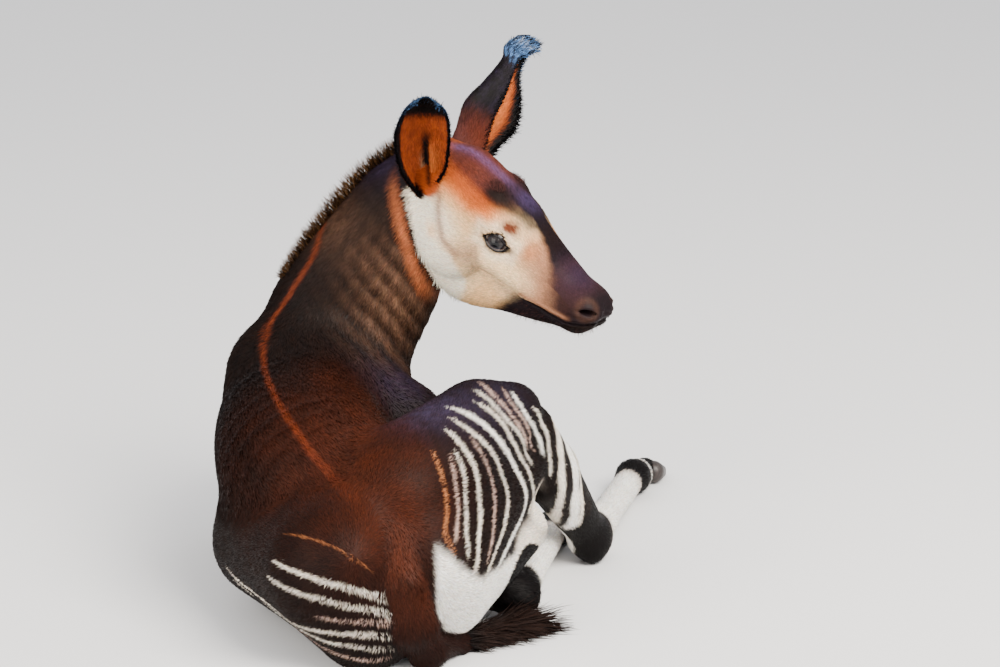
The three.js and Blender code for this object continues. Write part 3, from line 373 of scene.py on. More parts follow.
def head_shapes():
    def st(a, u, w, t, b):
        return (in_head(a, u, 0), HEAD_U, w, t, b)

    skull = Sweep([
        st(12, -30, 40, 30, 36), st(50, -26, 51, 45, 46), st(99, -26, 52, 47, 44),
        st(137, -25, 46, 46, 40), st(175, -22, 38, 34, 36), st(215, -20, 31, 28, 30),
        st(247, -20, 28, 26, 25),
    ], 28, 2.1)
    jaw = Sweep([
        st(48, -66, 32, 26, 34), st(92, -86, 33, 34, 38), st(130, -88, 30, 30, 34),
        st(170, -71, 25, 24, 25), st(212, -54, 20, 16, 17), st(250, -37, 18, 10, 10),
    ], 24, 2.1)
    shapes = [skull, jaw]
    for s in SIDES:
        shapes += [
            Egg((92, -66, 33 * s), 44, 36, 21),
            Egg((118, -12, 32 * s), 28, 14, 18),
            Egg((98, 7, 25 * s), 13, 9, 11),
            Cone(in_head(138, -46, 40 * s), in_head(196, -38, 27 * s), 11, 8, lie=-1),
            Egg((249, -12, 15 * s), 20, 14, 14),
            Cone(in_head(198, -40, 24 * s), in_head(258, -25, 16 * s), 9, 8, lie=-1),
        ]
    return shapes


FORE_R = fore_leg(ELBOW_R, CARPUS_R, FORE_FETLOCK_R, FORE_CORONET_R)
FORE_L = fore_leg(ELBOW_L, CARPUS_L, FORE_FETLOCK_L, FORE_CORONET_L)
# Group: its shapes, how softly they join, how softly the group joins the body, depth of the coat
GROUPS = {
    "trunk": ([
        Sweep(TRUNK),
        Cone(HIP_R, KNEE_R, 70, 33),
        Cone((-72, -68, 168), (-26, -4, 204), 62, 44),
        Cone(SEAT_R, (22, 34, 150), 52, 32),
        Cone((-54, -138, 60), (24, 0, 84), 42, 27),
        Cone(HIP_L, (-240, -10, 76), 72, 64),
        Cone(SEAT_L, (-193, -26, 48), 56, 54),
        Cone((-196, 118, 218), SHOULDER_R, 46, 46),
        Cone((-248, 124, 226), SHOULDER_L, 45, 42),
        Cone((-160, 125, 196), (-108, 98, 170), 52, 49),
        Cone(SHOULDER_R, ELBOW_R, 46, 36),
        Cone(SHOULDER_L, ELBOW_L, 44, 34),
    ], 26, 0, 3.0),
    "neck": ([Sweep(NECK)], 10, 34, 2.6),
    "tail": ([Cone(a[0], b[0], a[1], b[1]) for a, b in zip(TAIL, TAIL[1:])], 10, 8, 3.2),
    "hind_right": (hind_leg(KNEE_R, HOCK_R, FETLOCK_R, CORONET_R, (0.7, -0.6, 0.4)), 12, 12, 2.1),
    "hind_left": (hind_leg(KNEE_L, HOCK_L, FETLOCK_L, CORONET_L, (0.1, -0.3, 0.95)), 12, 8, 2.1),
    "fore_right": (FORE_R[0], 12, 12, 2.1),
    "fore_left": (FORE_L[0], 12, 12, 2.1),
    "cannon_right": (FORE_R[1], 9, 4, 1.8),
    "cannon_left": (FORE_L[1], 9, 4, 1.8),
    "head": (head_shapes(), 14, 12, 1.6),
}
SHAPES = [(g, shape) for g, (shapes, _, _, _) in GROUPS.items() for shape in shapes]
# The trunk's shapes that make the thighs, by number
THIGH_RIGHT, THIGH_LEFT = [1, 2, 3, 4], [5, 6]
# A coarse grid over the whole animal tells which shapes are near enough to matter at a point
REACH = 40
COARSE = 18.0
BOX_LOW = V(-345, -262, -30)
BOX_HIGH = V(262, 482, 600)


def lattice(step):
    """Counts and points of a grid over the whole animal."""
    n = np.ceil((BOX_HIGH - BOX_LOW) / step).astype(int) + 1
    axes = [BOX_LOW[i] + step * np.arange(n[i]) for i in range(3)]
    return n, np.stack(np.meshgrid(*axes, indexing="ij"), -1).reshape(-1, 3)


def coarse_cell(p):
    """Number of the coarse grid's point nearest to each point."""
    cell = np.clip(np.rint((p - BOX_LOW) / COARSE).astype(int), 0, COARSE_N - 1)
    return (cell[:, 0] * COARSE_N[1] + cell[:, 1]) * COARSE_N[2] + cell[:, 2]


COARSE_N, coarse_points = lattice(COARSE)
coarse = np.stack([shape.distance(coarse_points) for _, shape in SHAPES])
NEARBY = coarse < coarse.min(0) + 2 * COARSE + REACH


def distances(p):
    """Every shape's distance at the points, large where the shape is out of reach."""
    cell = coarse_cell(p)
    out = np.full((len(SHAPES), len(p)), FAR)
    for i, (_, shape) in enumerate(SHAPES):
        use = NEARBY[i][cell]
        if use.any():
            out[i, use] = shape.distance(p[use])
    return out


def joined(each):
    """The whole body's distance from the shapes' distances."""
    at, whole = 0, None
    for shapes, inner, outer, _ in GROUPS.values():
        d = each[at]
        for i in range(1, len(shapes)):
            d = smin(d, each[at + i], inner)
        at += len(shapes)
        whole = d if whole is None else smin(whole, d, outer)
    return whole


# Depth of the coat, and how softly it changes from shape to shape
DEPTH = np.array([GROUPS[g][3] for g, _ in SHAPES])
MUZZLE_DEPTH, LID_DEPTH = 0.6, 0.8
BLEND = 6.0


def weights(each, soft):
    """Each shape's share at the points, the nearest one's the largest."""
    w = np.exp(-(each - each.min(0)) / soft)
    return w / w.sum(0)


def coat_depth(p, each):
    """How far the skin lies under the solids' surface: less on the muzzle and round the eyes."""
    a, _, r = head_coords(p)
    depth = DEPTH @ weights(each, BLEND)
    depth = mix(depth, MUZZLE_DEPTH, ramp(a, 150, 225) * ramp(np.abs(r), 80, 60))
    return mix(depth, LID_DEPTH, ramp(away_from_nearest(p, EYES.values()), 26, 17))


# Eyes and what frames them: for each side the middle, and the ways along the lids, up and out
EYES = {s: on_side(EYE_PLACE, s) for s in SIDES}
EYE_AXES = {}
for s in SIDES:
    out = unit(HEAD_R * s + 0.28 * HEAD_A + 0.12 * HEAD_U)
    long = HEAD_A + 0.3 * HEAD_U
    long = unit(long - (long @ out) * out)
    EYE_AXES[s] = (long, np.cross(out, long) * s, out)
EYE_HALF = 13.6
EYE_LEAN = 0.1
LID_UP, LID_DOWN = 7.6, 6.2


def eye_coords(p, s):
    q = p - EYES[s]
    x, y, z = (dot(q, axis) for axis in EYE_AXES[s])
    return x, y + EYE_LEAN * x, z


def lid_arches(x, grow):
    """The upper and the lower edge of the opening between the lids, over x."""
    arch = np.maximum(1 - (x / (EYE_HALF + grow)) ** 2, 0)
    upper = (LID_UP + grow) * arch ** 0.72 * (1 - 0.012 * x)
    return upper, -(LID_DOWN + grow) * arch ** 0.85 * (1 + 0.01 * x)


def almond(x, y):
    """Negative inside the opening between the lids."""
    upper, lower = lid_arches(x, 0.0)
    return np.maximum(np.maximum(y - upper, lower - y), np.abs(x) - EYE_HALF)


# Line of the mouth in the head's frame, from the front of the lips to the corner
MOUTH = np.array([(284, -6), (273, -14), (262, -24), (248, -34), (231, -40), (214, -44), (195, -50)], float)


def to_line(p, line):
    """Distance to a line of points, and the place along it from 0 to 1."""
    best, along = np.full(len(p), FAR), np.zeros(len(p))
    n = len(line) - 1
    for i in range(n):
        d = line[i + 1] - line[i]
        t = np.clip((p - line[i]) @ d / max(d @ d, 1e-6), 0, 1)
        r = np.linalg.norm(p - line[i] - t[:, None] * d, axis=-1)
        along = np.where(r < best, (i + t) / n, along)
        best = np.minimum(best, r)
    return best, along


def to_mouth(a, u):
    """Distance from the line of the mouth, and the share along it."""
    return to_line(np.stack([a, u], -1), MOUTH)


def mouth_height(a):
    return np.interp(a, MOUTH[::-1, 0], MOUTH[::-1, 1])


def lumps(p, size, seed=0.0):
    """Soft waves between -1 and 1, about size across."""
    q = p * (math.tau / size) + seed
    x, y, z = q[..., 0], q[..., 1], q[..., 2]
    wave = np.sin(x + 1.7 * np.sin(0.6 * y + seed)) + np.sin(y * 1.1 + 1.3 * np.sin(0.7 * z))
    wave += np.sin(z * 0.9 + 1.5 * np.sin(0.8 * x + 2 * seed)) + np.sin(0.7 * (x + y - z) + 3)
    return wave / 4


SKIN_FLOOR, FLOOR_SOFT = 0.5, 5
LID_SWELL, LID_RIM = 2.2, 1.1
MOUTH_DEEP, LIP_SWELL = 3.4, 1.0
NOSTRIL_RADII, NOSTRIL_BEND = V(10.5, 3.2, 9), 0.018
FOLD_WAY = unit(V(0.72, 0.25, 0.62))
FOLD_HEIGHT, FOLD_WIDTH = 1.5, 19
NECK_MIDDLE, NECK_SPREAD = V(-118, 150, 295), V(46, 60, 66)


def skin_field(p):
    """The skin: the solids' shape less the coat, with lids, mouth and nostrils, flat on the floor."""
    each = distances(p)
    d = joined(each) + coat_depth(p, each)
    a, u, r = head_coords(p)
    i = np.nonzero((a > -20) & (np.abs(r) < 90) & (u > -150) & (u < 60))[0]
    if len(i):
        d[i] = head_detail(p[i], a[i], u[i], d[i])
    high, strength = neck_folds(p)
    return smax(d - FOLD_HEIGHT * high * strength, SKIN_FLOOR - p[:, 2], FLOOR_SOFT)


def neck_folds(p):
    """Height of the loose skin's folds on the right of the neck, from -1 to 1, and their strength."""
    q = p @ FOLD_WAY + 5 * lumps(p, 90, 2)
    high = np.sin(q * math.tau / FOLD_WIDTH) * (0.75 + 0.4 * lumps(p, 44, 6))
    return high, np.exp(-(((p - NECK_MIDDLE) / NECK_SPREAD) ** 2).sum(-1))


def head_detail(p, a, u, d):
    """Adds the lids and the opening between them, the mouth and the nostrils to the distance."""
    for s in SIDES:
        x, y, z = eye_coords(p, s)
        ball = np.sqrt(x * x + (y - EYE_LEAN * x) ** 2 + z * z) - EYE_R
        rim = almond(x, y)
        d = smin(d, ball - LID_SWELL, 3.0)
        d = d + LID_RIM * bell(rim, 5.5, 2.2) * (z > 0)
        d = smax(d, -np.maximum(rim, 2 - z), 1.2)
        d = smax(d, -(ball + 1.0), 0.6)
    near, along = to_mouth(a, u)
    d = d + MOUTH_DEEP * bell(near, 0, 1.5) * ramp(along, 1.0, 0.93)
    d = d - LIP_SWELL * bell(near, 4, 3.0) * ramp(along, 1.0, 0.8)
    for s in SIDES:
        q = p - on_side(NOSTRIL, s)
        slit = unit(0.93 * HEAD_A + 0.36 * HEAD_U)
        deep = HEAD_R * s + 0.5 * HEAD_A
        deep = unit(deep - (deep @ slit) * slit)
        x, y, z = q @ slit, q @ np.cross(deep, slit), q @ deep
        long, high, inward = NOSTRIL_RADII
        y = y + NOSTRIL_BEND * x * x
        hole = (np.sqrt((x / long) ** 2 + (y / high) ** 2 + (z / inward) ** 2) - 1) * high
        d = d - 1.2 * bell(hole, 2.5, 2.2)
        d = smax(d, -hole, 1.5)
    return d


# Triangles and quads of closed bodies
def quads_to_tris(quads):
    return np.concatenate([quads[:, [0, 1, 2]], quads[:, [0, 2, 3]]])


def outward(points, faces):
    """The faces of a closed body, turned to look outward."""
    corner = points[faces]
    cross = sum(np.cross(corner[:, k], corner[:, k + 1]) for k in range(1, faces.shape[1] - 1))
    return faces if dot(corner[:, 0], cross).sum() > 0 else faces[:, ::-1]


def ring_quads(rings, n, closed=False):
    """Quads between neighbouring rings of n points, and from the last ring to the first if closed."""
    i, j = np.meshgrid(np.arange(rings if closed else rings - 1), np.arange(n), indexing="ij")
    at = lambda a, b: a % rings * n + b % n
    return np.stack([at(i, j), at(i + 1, j), at(i + 1, j + 1), at(i, j + 1)], -1).reshape(-1, 4)


def with_poles(points, rings, n):
    """Triangles of a closed body: its rings of n points, then its two poles."""
    first, last, k = rings * n, (rings - 1) * n, np.arange(n)
    caps = [
        np.stack([np.full(n, first), k, (k + 1) % n], -1),
        np.stack([np.full(n, first + 1), last + (k + 1) % n, last + k], -1),
    ]
    return outward(points, np.concatenate([quads_to_tris(ring_quads(rings, n)), *caps]))


def grid_quads(index, turned):
    """Quads of a grid of point numbers, the other way round where turned."""
    corners = [index[:-1, :-1], index[:-1, 1:], index[1:, 1:], index[1:, :-1]]
    quads = np.stack([c.ravel() for c in corners], -1)
    return quads[:, [0, 3, 2, 1]] if turned else quads


# One closed mesh of the skin: a grid of cells first, then finer triangles on the head
FAR_OUT = 50.0
NEAR_SKIN = 1.9 * COARSE


def grid_values(step):
    """The skin's distance on a grid, worked out only near the skin."""
    n, grid = lattice(step)
    rough = joined(coarse)[coarse_cell(grid)]
    value = np.where(rough > 0, FAR_OUT, -FAR_OUT)
    near = np.abs(rough) < NEAR_SKIN
    value[near] = skin_field(grid[near])
    return value.reshape(n)


def cell_points(value, step):
    """A point for each cell that the skin cuts, amid its cuts, and the points' numbers by cell."""
    corners = [(i, j, k) for i in (0, 1) for j in (0, 1) for k in (0, 1)]
    m = np.array(value.shape) - 1
    cut = [value[i:m[0] + i, j:m[1] + j, k:m[2] + k] for i, j, k in corners]
    signs = np.stack([c < 0 for c in cut])
    mixed = signs.any(0) & ~signs.all(0)
    index = -np.ones(m, int)
    index[mixed] = np.arange(mixed.sum())
    total, weight = np.zeros((mixed.sum(), 3)), np.zeros(mixed.sum())
    vals = [c[mixed] for c in cut]
    for a in range(8):
        for b in range(a + 1, 8):
            ca, cb = np.array(corners[a]), np.array(corners[b])
            if np.abs(ca - cb).sum() != 1:
                continue
            cross = (vals[a] < 0) != (vals[b] < 0)
            t = vals[a][cross] / (vals[a][cross] - vals[b][cross])
            total[cross] += ca + t[:, None] * (cb - ca)
            weight[cross] += 1
    where = np.stack(np.nonzero(mixed), -1)
    return BOX_LOW + step * (where + total / weight[:, None]), index


def cell_quads(inside, index):
    """A quad over each edge of the grid that the skin cuts, between the points of the cells round it."""
    quads = []
    for axis in range(3):
        u, v = (axis + 1) % 3, (axis + 2) % 3
        low = [slice(1, -1)] * 3
        low[axis] = slice(0, -1)
        high = list(low)
        high[axis] = slice(1, None)
        here, there = inside[tuple(low)], inside[tuple(high)]
        start = np.stack(np.nonzero(here != there), -1)
        base = start + np.array([0 if i == axis else 1 for i in range(3)])
        flip = ~here[tuple(start.T)]
        ring = []
        for du, dv in ((0, 0), (1, 0), (1, 1), (0, 1)):
            c = base.copy()
            c[:, u] -= du
            c[:, v] -= dv
            ring.append(index[tuple(c.T)])
        quad = np.stack(ring, -1)
        quad[flip] = quad[flip][:, ::-1]
        quads.append(quad)
    return np.concatenate(quads)


PROBE = 0.5
SLOPE_LEAST = 0.1


def settle(p, rounds, most):
    """Moves points onto the skin, at most so far in each round."""
    for _ in range(rounds):
        d = skin_field(p)
        g = np.stack([skin_field(p + e) - d for e in np.eye(3) * PROBE], -1) / PROBE
        step = -(d / np.maximum((g * g).sum(-1), SLOPE_LEAST))[:, None] * g
        size = np.linalg.norm(step, axis=-1, keepdims=True)
        p = p + step * np.minimum(1, most / np.maximum(size, 1e-9))
    return p


def refine(points, tris, goal):
    """Splits the edges longer than the goal at their middle; every triangle follows its edges."""
    edges = np.sort(tris[:, [0, 1, 1, 2, 2, 0]].reshape(-1, 2), axis=1)
    unique, back = np.unique(edges, axis=0, return_inverse=True)
    back = back.reshape(-1, 3)
    a, b = points[unique[:, 0]], points[unique[:, 1]]
    middle = (a + b) / 2
    split = np.linalg.norm(a - b, axis=-1) > goal(middle)
    new = -np.ones(len(unique), int)
    new[split] = len(points) + np.arange(split.sum())
    points = np.concatenate([points, middle[split]])
    m = new[back]
    count = (m >= 0).sum(1)
    out = [tris[count == 0]]
    full = count == 3
    (x, y, z), (p, q, r) = tris[full].T, m[full].T
    out += [np.stack(t, -1) for t in ((x, p, r), (p, y, q), (r, q, z), (p, q, r))]
    for i in range(3):
        j, k = (i + 1) % 3, (i + 2) % 3
        one = (count == 1) & (m[:, i] >= 0)
        x, y, z = tris[one][:, [i, j, k]].T
        out += [np.stack((x, m[one, i], z), -1), np.stack((m[one, i], y, z), -1)]
        two = (count == 2) & (m[:, k] < 0)
        x, y, z = tris[two][:, [i, j, k]].T
        p, q = m[two, i], m[two, j]
        out += [np.stack((p, y, q), -1), np.stack((x, p, q), -1), np.stack((x, q, z), -1)]
    return points, np.concatenate(out)


def vertex_normals(points, tris):
    n = np.cross(points[tris[:, 1]] - points[tris[:, 0]], points[tris[:, 2]] - points[tris[:, 0]])
    out = np.zeros_like(points)
    for i in range(3):
        for c in range(3):
            out[:, c] += np.bincount(tris[:, i], n[:, c], len(points))
    return unit(out)


# How long an edge of the skin may be: on the head, at the tip of the nose, along the mouth, round the eyes
HEAD_EDGE, NOSE_EDGE, MOUTH_EDGE, EYE_EDGE = 3.2, 1.8, 1.6, 1.5


def skin_goal(p):
    """How long an edge of the skin may be at a place."""
    a, u, r = head_coords(p)
    on_head = (a > -10) & (np.abs(r) < 75) & (u > -140) & (u < 50) & (p[:, 2] > 250)
    goal = np.where(on_head, HEAD_EDGE, FAR)
    goal = np.where(on_head & (away_from_nearest(p, EYES.values()) < 27), EYE_EDGE, goal)
    near, _ = to_mouth(a, u)
    goal = np.where(on_head & (a > 190) & (near < 6), MOUTH_EDGE, goal)
    return np.where(on_head & (a > 236) & (u > -26), NOSE_EDGE, goal)


SKIN_STEP = 4.6
value = grid_values(SKIN_STEP)
skin_points, index = cell_points(value, SKIN_STEP)
skin_tris = quads_to_tris(cell_quads(value < 0, index))
skin_points = settle(skin_points, 2, 1.2)
for _ in range(3):
    before = len(skin_points)
    skin_points, skin_tris = refine(skin_points, skin_tris, skin_goal)
    if len(skin_points) > before:
        skin_points[before:] = settle(skin_points[before:], 2, 1.5)
skin_normals = vertex_normals(skin_points, skin_tris)


# Colours, written as the eye reads them and turned to linear light
def tone(r, g, b):
    c = np.array([r, g, b], float) / 255
    return np.where(c <= 0.04045, c / 12.92, ((c + 0.055) / 1.055) ** 2.4)


BLACK_BROWN = tone(27, 16, 12)
# The neck's brown is painted light: sheen on the neck and light on the crests of its folds
NECK_SHEEN_BROWN = tone(110, 78, 59)
# LAVENDER_SHEEN is a painted sheen along the crown's ridge
LAVENDER_SHEEN = tone(122, 104, 168)
BAND = tone(166, 92, 56)
SOOT = tone(13, 10, 10)
CHESTNUT = tone(66, 29, 15)
TAIL_BROWN = tone(76, 35, 19)
RUFOUS = tone(98, 42, 22)
# HIP_SHEEN_BLUE is a painted bluish sheen on the dark coat
HIP_SHEEN_BLUE = tone(56, 48, 68)
CREAM = tone(238, 226, 210)
WHITE = tone(250, 244, 234)
PINK_CREAM = tone(204, 172, 158)
TAN_STRIPE = tone(180, 114, 72)
ORANGE = tone(206, 112, 50)
FACE_CREAM = tone(242, 206, 160)
PEACH = tone(243, 186, 126)
FAWN = tone(192, 116, 68)
EYE_PALE = tone(246, 222, 190)
CHEEK_WHITE = tone(255, 239, 216)
# On the face, this grey is painted shadow along creases
FACE_GREY = tone(138, 104, 84)
MUZZLE = tone(162, 112, 84)
MUZZLE_DARK = tone(52, 31, 29)
NOSE = tone(30, 22, 25)
# BLUE_SHEEN is a painted bluish sheen on dark fur: on the nape, the shoulder, the forehead, the top of the
# nose and the back of the ear
BLUE_SHEEN = tone(46, 36, 58)
CROWN = tone(84, 47, 43)
EAR_RUST = tone(164, 72, 28)
# TIP_SHEEN_BLUE is a painted bluish sheen on the tips of the ear's dark hair
TIP_SHEEN_BLUE = tone(108, 156, 218)
GOLD = tone(150, 104, 58)
STRIPE_DIM = tone(120, 72, 44)
NEAR_EYE = tone(104, 50, 28)
CUP_BROWN = tone(122, 52, 26)
IRIS, IRIS_PALE = tone(22, 18, 18), tone(58, 50, 48)
# IRIS_REFLECTION is a painted reflection on the iris's lower half
IRIS_REFLECTION, IRIS_RING = tone(84, 88, 100), tone(20, 20, 26)
EYEBALL, EYE_WHITE, PUPIL = tone(44, 32, 28), tone(186, 172, 160), tone(5, 5, 8)
# The last of these is a painted highlight along the wet edge of the lower lid
LID, LID_WET, LID_WET_HIGHLIGHT = tone(20, 15, 16), tone(30, 24, 24), tone(100, 82, 74)
HORN, HORN_RING, HORN_PALE = tone(30, 24, 22), tone(52, 42, 38), tone(78, 66, 58)


def paint(c, colour, amount):
    """The colours, covered with another to the share amount at each point."""
    return c + (colour - c) * np.clip(amount, 0, 1)[:, None]


def spot(p, centre, radius):
    """1 at the centre, fading round it."""
    q = (p - np.array(centre, float)) / radius
    return np.exp(-(q * q).sum(-1))


# Stripes as lines over the thighs and legs: colour, half width, points
STRIPES = [
    (TAN_STRIPE, 1.1, [(-69, -125, 212), (-57, -143, 188), (-52, -158, 157), (-54, -177, 141),
                       (-44, -189, 121)]),
    (PINK_CREAM, 1.2, [(-50, -121, 207), (-44, -135, 186), (-40, -148, 157), (-42, -166, 143),
                       (-44, -180, 132)]),
    (CREAM, 1.4, [(-46, -115, 210), (-35, -126, 185), (-32, -144, 151), (-33, -163, 137), (-32, -184, 114)]),
    (CREAM, 2.2, [(-57, -95, 227), (-36, -108, 209), (-22, -114, 182), (-18, -126, 150), (-20, -160, 126),
                  (-28, -186, 95)]),
    (PINK_CREAM, 1.2, [(-31, -93, 217), (-15, -97, 194), (-4, -97, 160), (-5, -122, 132), (-13, -163, 101)]),
    (CREAM, 2.0, [(-53, -77, 233), (-29, -86, 220), (-1, -81, 187), (10, -76, 153), (7, -103, 126),
                  (-3, -136, 107), (-16, -173, 87)]),
    (WHITE, 3.1, [(-56, -58, 239), (-24, -68, 228), (6, -65, 196), (23, -44, 158), (28, -47, 123),
                  (14, -90, 104), (-3, -139, 85)]),
    (CREAM, 2.1, [(-28, -45, 241), (-4, -50, 227), (16, -49, 196), (31, -24, 161), (35, -24, 141),
                  (36, -17, 123), (32, -32, 109)]),
    (CREAM, 1.7, [(-29, -23, 247), (-10, -37, 239), (11, -44, 218), (29, -24, 183), (38, -10, 158)]),
    (PINK_CREAM, 1.5, [(-23, -6, 250), (-6, -27, 242), (15, -35, 221), (25, -32, 205), (36, -14, 176)]),
    (PINK_CREAM, 1.3, [(2, -6, 245), (14, -24, 232), (28, -23, 211), (34, -17, 198), (42, -2, 170)]),
    (WHITE, 2.5, [(13, -6, 241), (22, -15, 230), (32, -16, 213), (42, 7, 184), (46, 12, 160)]),
    (CREAM, 2.2, [(38, -1, 220), (48, 17, 191), (53, 22, 154), (54, 31, 131)]),
    (STRIPE_DIM, 0.9, [(-213, -188, 143), (-192, -205, 146), (-167, -215, 141), (-145, -217, 129),
                       (-128, -213, 114)]),
    (CREAM, 1.7, [(-223, -195, 119), (-212, -209, 117), (-197, -220, 115), (-177, -227, 110),
                  (-152, -226, 102), (-128, -217, 91), (-109, -214, 85)]),
    (CREAM, 1.5, [(-229, -190, 101), (-214, -209, 98), (-197, -221, 95), (-172, -227, 89), (-148, -224, 81),
                  (-123, -217, 74), (-107, -213, 67)]),
    (PINK_CREAM, 0.8, [(-183, -219, 70), (-153, -222, 66), (-128, -220, 63), (-103, -213, 59)]),
    (CREAM, 1.5, [(-283, -56, 64), (-279, -90, 50), (-262, -132, 50), (-230, -175, 52), (-199, -195, 52),
                  (-173, -213, 52), (-138, -221, 51), (-107, -213, 46)]),
    (CREAM, 1.3, [(-284, -64, 46), (-275, -105, 36), (-250, -152, 36), (-215, -188, 37), (-180, -207, 38),
                  (-149, -217, 38), (-107, -209, 33)]),
    (PINK_CREAM, 0.9, [(-262, -135, 22), (-225, -176, 23), (-185, -200, 24), (-150, -208, 25),
                       (-110, -204, 22)]),
]
# Rings round the legs: the leg's two ends, a point and the ring's own direction, colour, half width
RINGS = [
    (KNEE_R, HOCK_R, [(65, 37, 166), (66, 41, 121), (58, 80, 67)], CREAM, 4.6),
    (KNEE_R, HOCK_R, [(81, 60, 131), (82, 64, 104), (80, 79, 66)], WHITE, 6.0),
    (KNEE_R, HOCK_R, [(89, 80, 101), (83, 77, 74), (88, 92, 48)], CREAM, 2.6),
    (KNEE_L, HOCK_L, [(-150, 20, 60), (-146, -30, 80), (-150, -60, 40)], CREAM, 3.0),
    (KNEE_L, HOCK_L, [(-100, 10, 50), (-96, -30, 66), (-104, -60, 30)], CREAM, 4.0),
    (KNEE_L, HOCK_L, [(-52, 0, 44), (-48, -30, 58), (-60, -60, 26)], WHITE, 5.0),
    (ELBOW_R, CARPUS_R, [(-130, 175, 55), (-100, 172, 60), (-90, 170, 40)], CREAM, 3.0),
    (ELBOW_R, CARPUS_R, [(-126, 215, 50), (-100, 212, 50), (-88, 210, 30)], CREAM, 3.0),
    (ELBOW_R, CARPUS_R, [(-122, 252, 40), (-100, 250, 45), (-88, 248, 25)], WHITE, 4.0),
    (ELBOW_L, CARPUS_L, [(-290, 175, 50), (-266, 172, 60), (-248, 170, 40)], CREAM, 3.0),
    (ELBOW_L, CARPUS_L, [(-286, 215, 40), (-264, 212, 50), (-246, 210, 30)], CREAM, 3.0),
    (ELBOW_L, CARPUS_L, [(-284, 252, 36), (-262, 250, 45), (-244, 248, 25)], WHITE, 4.0),
]
DORSAL = [
    (-170, 196, 398), (-188, 188, 373), (-199, 162, 347), (-214, 151, 322), (-221, 147, 312),
    (-230, 140, 297), (-243, 128, 281), (-251, 105, 266), (-252, 77, 249), (-239, 6, 237), (-222, -48, 227),
    (-204, -83, 213), (-192, -99, 201), (-171, -124, 184), (-152, -154, 173), (-128, -180, 155),
]


def over_skin(points, steps):
    """A smooth line through the points, laid onto the skin."""
    return settle(centripetal(np.array(points, float), steps), 4, 6)


def near_line(p, line, reach):
    """Distance to a line over the skin and the share of its length, for the points within reach."""
    far, share = np.full(len(p), FAR), np.zeros(len(p))
    use = ((p > line.min(0) - reach) & (p < line.max(0) + reach)).all(1)
    far[use], share[use] = to_line(p[use], line)
    return far, share


STRIPES = [(c, w, over_skin(points, 18)) for c, w, points in STRIPES]
DORSAL = over_skin(DORSAL, 60)


def limb_coords(p, a, b):
    """Share of the way from a to b, and the distance from the line between them."""
    long = np.linalg.norm(b - a)
    axis = (b - a) / long
    x = (p - a) @ axis
    return x / long, np.linalg.norm(p - a - np.outer(x, axis), axis=-1)


RING_FROM, RING_TO, RING_REACH = 0.1, 1.15, 62
RING_SOFT = 0.7


def leg_rings(p, c):
    """White rings on the upper legs, each a band along its own plane."""
    for top, low, points, colour, half in RINGS:
        points = np.array(points, float)
        axis, chord = unit(low - top), unit(points[-1] - points[0])
        off = (p - points.mean(0)) @ unit(axis - (axis @ chord) * chord) + 1.2 * lumps(p, 30, half)
        t, r = limb_coords(p, top, low)
        inside = (t > RING_FROM) & (t < RING_TO) & (r < RING_REACH)
        c = paint(c, colour, ramp(np.abs(off), half + RING_SOFT, half - RING_SOFT) * inside)
    return c


def lower_leg(p, c, joint, fetlock, coronet, reach, start):
    """White cannon, black fetlock with a thin white ring, dark pastern."""
    t, r = limb_coords(p, joint, fetlock)
    wave = 0.01 * lumps(p, 16, 2)
    on = (t > start - 0.1) & (r < reach) & (t < 1.15)
    c = paint(c, WHITE, ramp(t + wave, start, start + 0.03) * on)
    c = paint(c, FACE_GREY, 0.4 * ramp(t, 0.75, 0.88) * on)
    c = paint(c, SOOT, ramp(t + wave, 0.87, 0.89) * on)
    t, r = limb_coords(p, fetlock, coronet)
    past = (t > 0.02) & (r < reach) & (t < 1.4)
    c = paint(c, SOOT, ramp(t, 0.02, 0.1) * past)
    return paint(c, WHITE, ramp(np.abs(t - 0.42 + wave), 0.075, 0.045) * past)


# Soft patches of the body's coat: centre, radius, strength. The chestnut ones are the coat's own colour; the
# hip ones are painted bluish sheen on the hips and the back; the neck ones are a painted lighter brown sheen
CHESTNUT_PATCHES = [
    ((-175, -60, 205), 70, 0.5), ((-120, -140, 175), 62, 0.8), ((-205, -110, 165), 60, 0.5),
    ((-165, 10, 235), 46, 0.55), ((-130, -60, 215), 50, 0.45), ((-105, -185, 150), 45, 0.85),
    ((-235, -30, 190), 55, 0.35), ((-150, -190, 120), 50, 0.4), ((-140, 60, 240), 30, 0.2),
]
HIP_SHEEN_PATCHES = [
    ((-72, -66, 236), 34, 0.75), ((-30, -50, 240), 44, 0.35), ((10, -10, 240), 36, 0.25),
    ((-120, 70, 245), 34, 0.2),
]
# Patches of painted brown sheen on the neck
NECK_SHEEN_PATCHES = [((-178, 172, 372), 34, 0.3), ((-112, 147, 290), 32, 0.4), ((-140, 165, 335), 30, 0.2)]
# Edge of the white seat: its height over x
SEAT_EDGE = [-66, -50, -38, -20, 0, 20, 45], [132, 120, 108, 92, 86, 84, 78]


def patches(p, c, colour, places, grain):
    """Paints soft patches, broken up by the grain."""
    for centre, radius, amount in places:
        c = paint(c, colour, amount * spot(p, centre, radius) * grain)
    return c


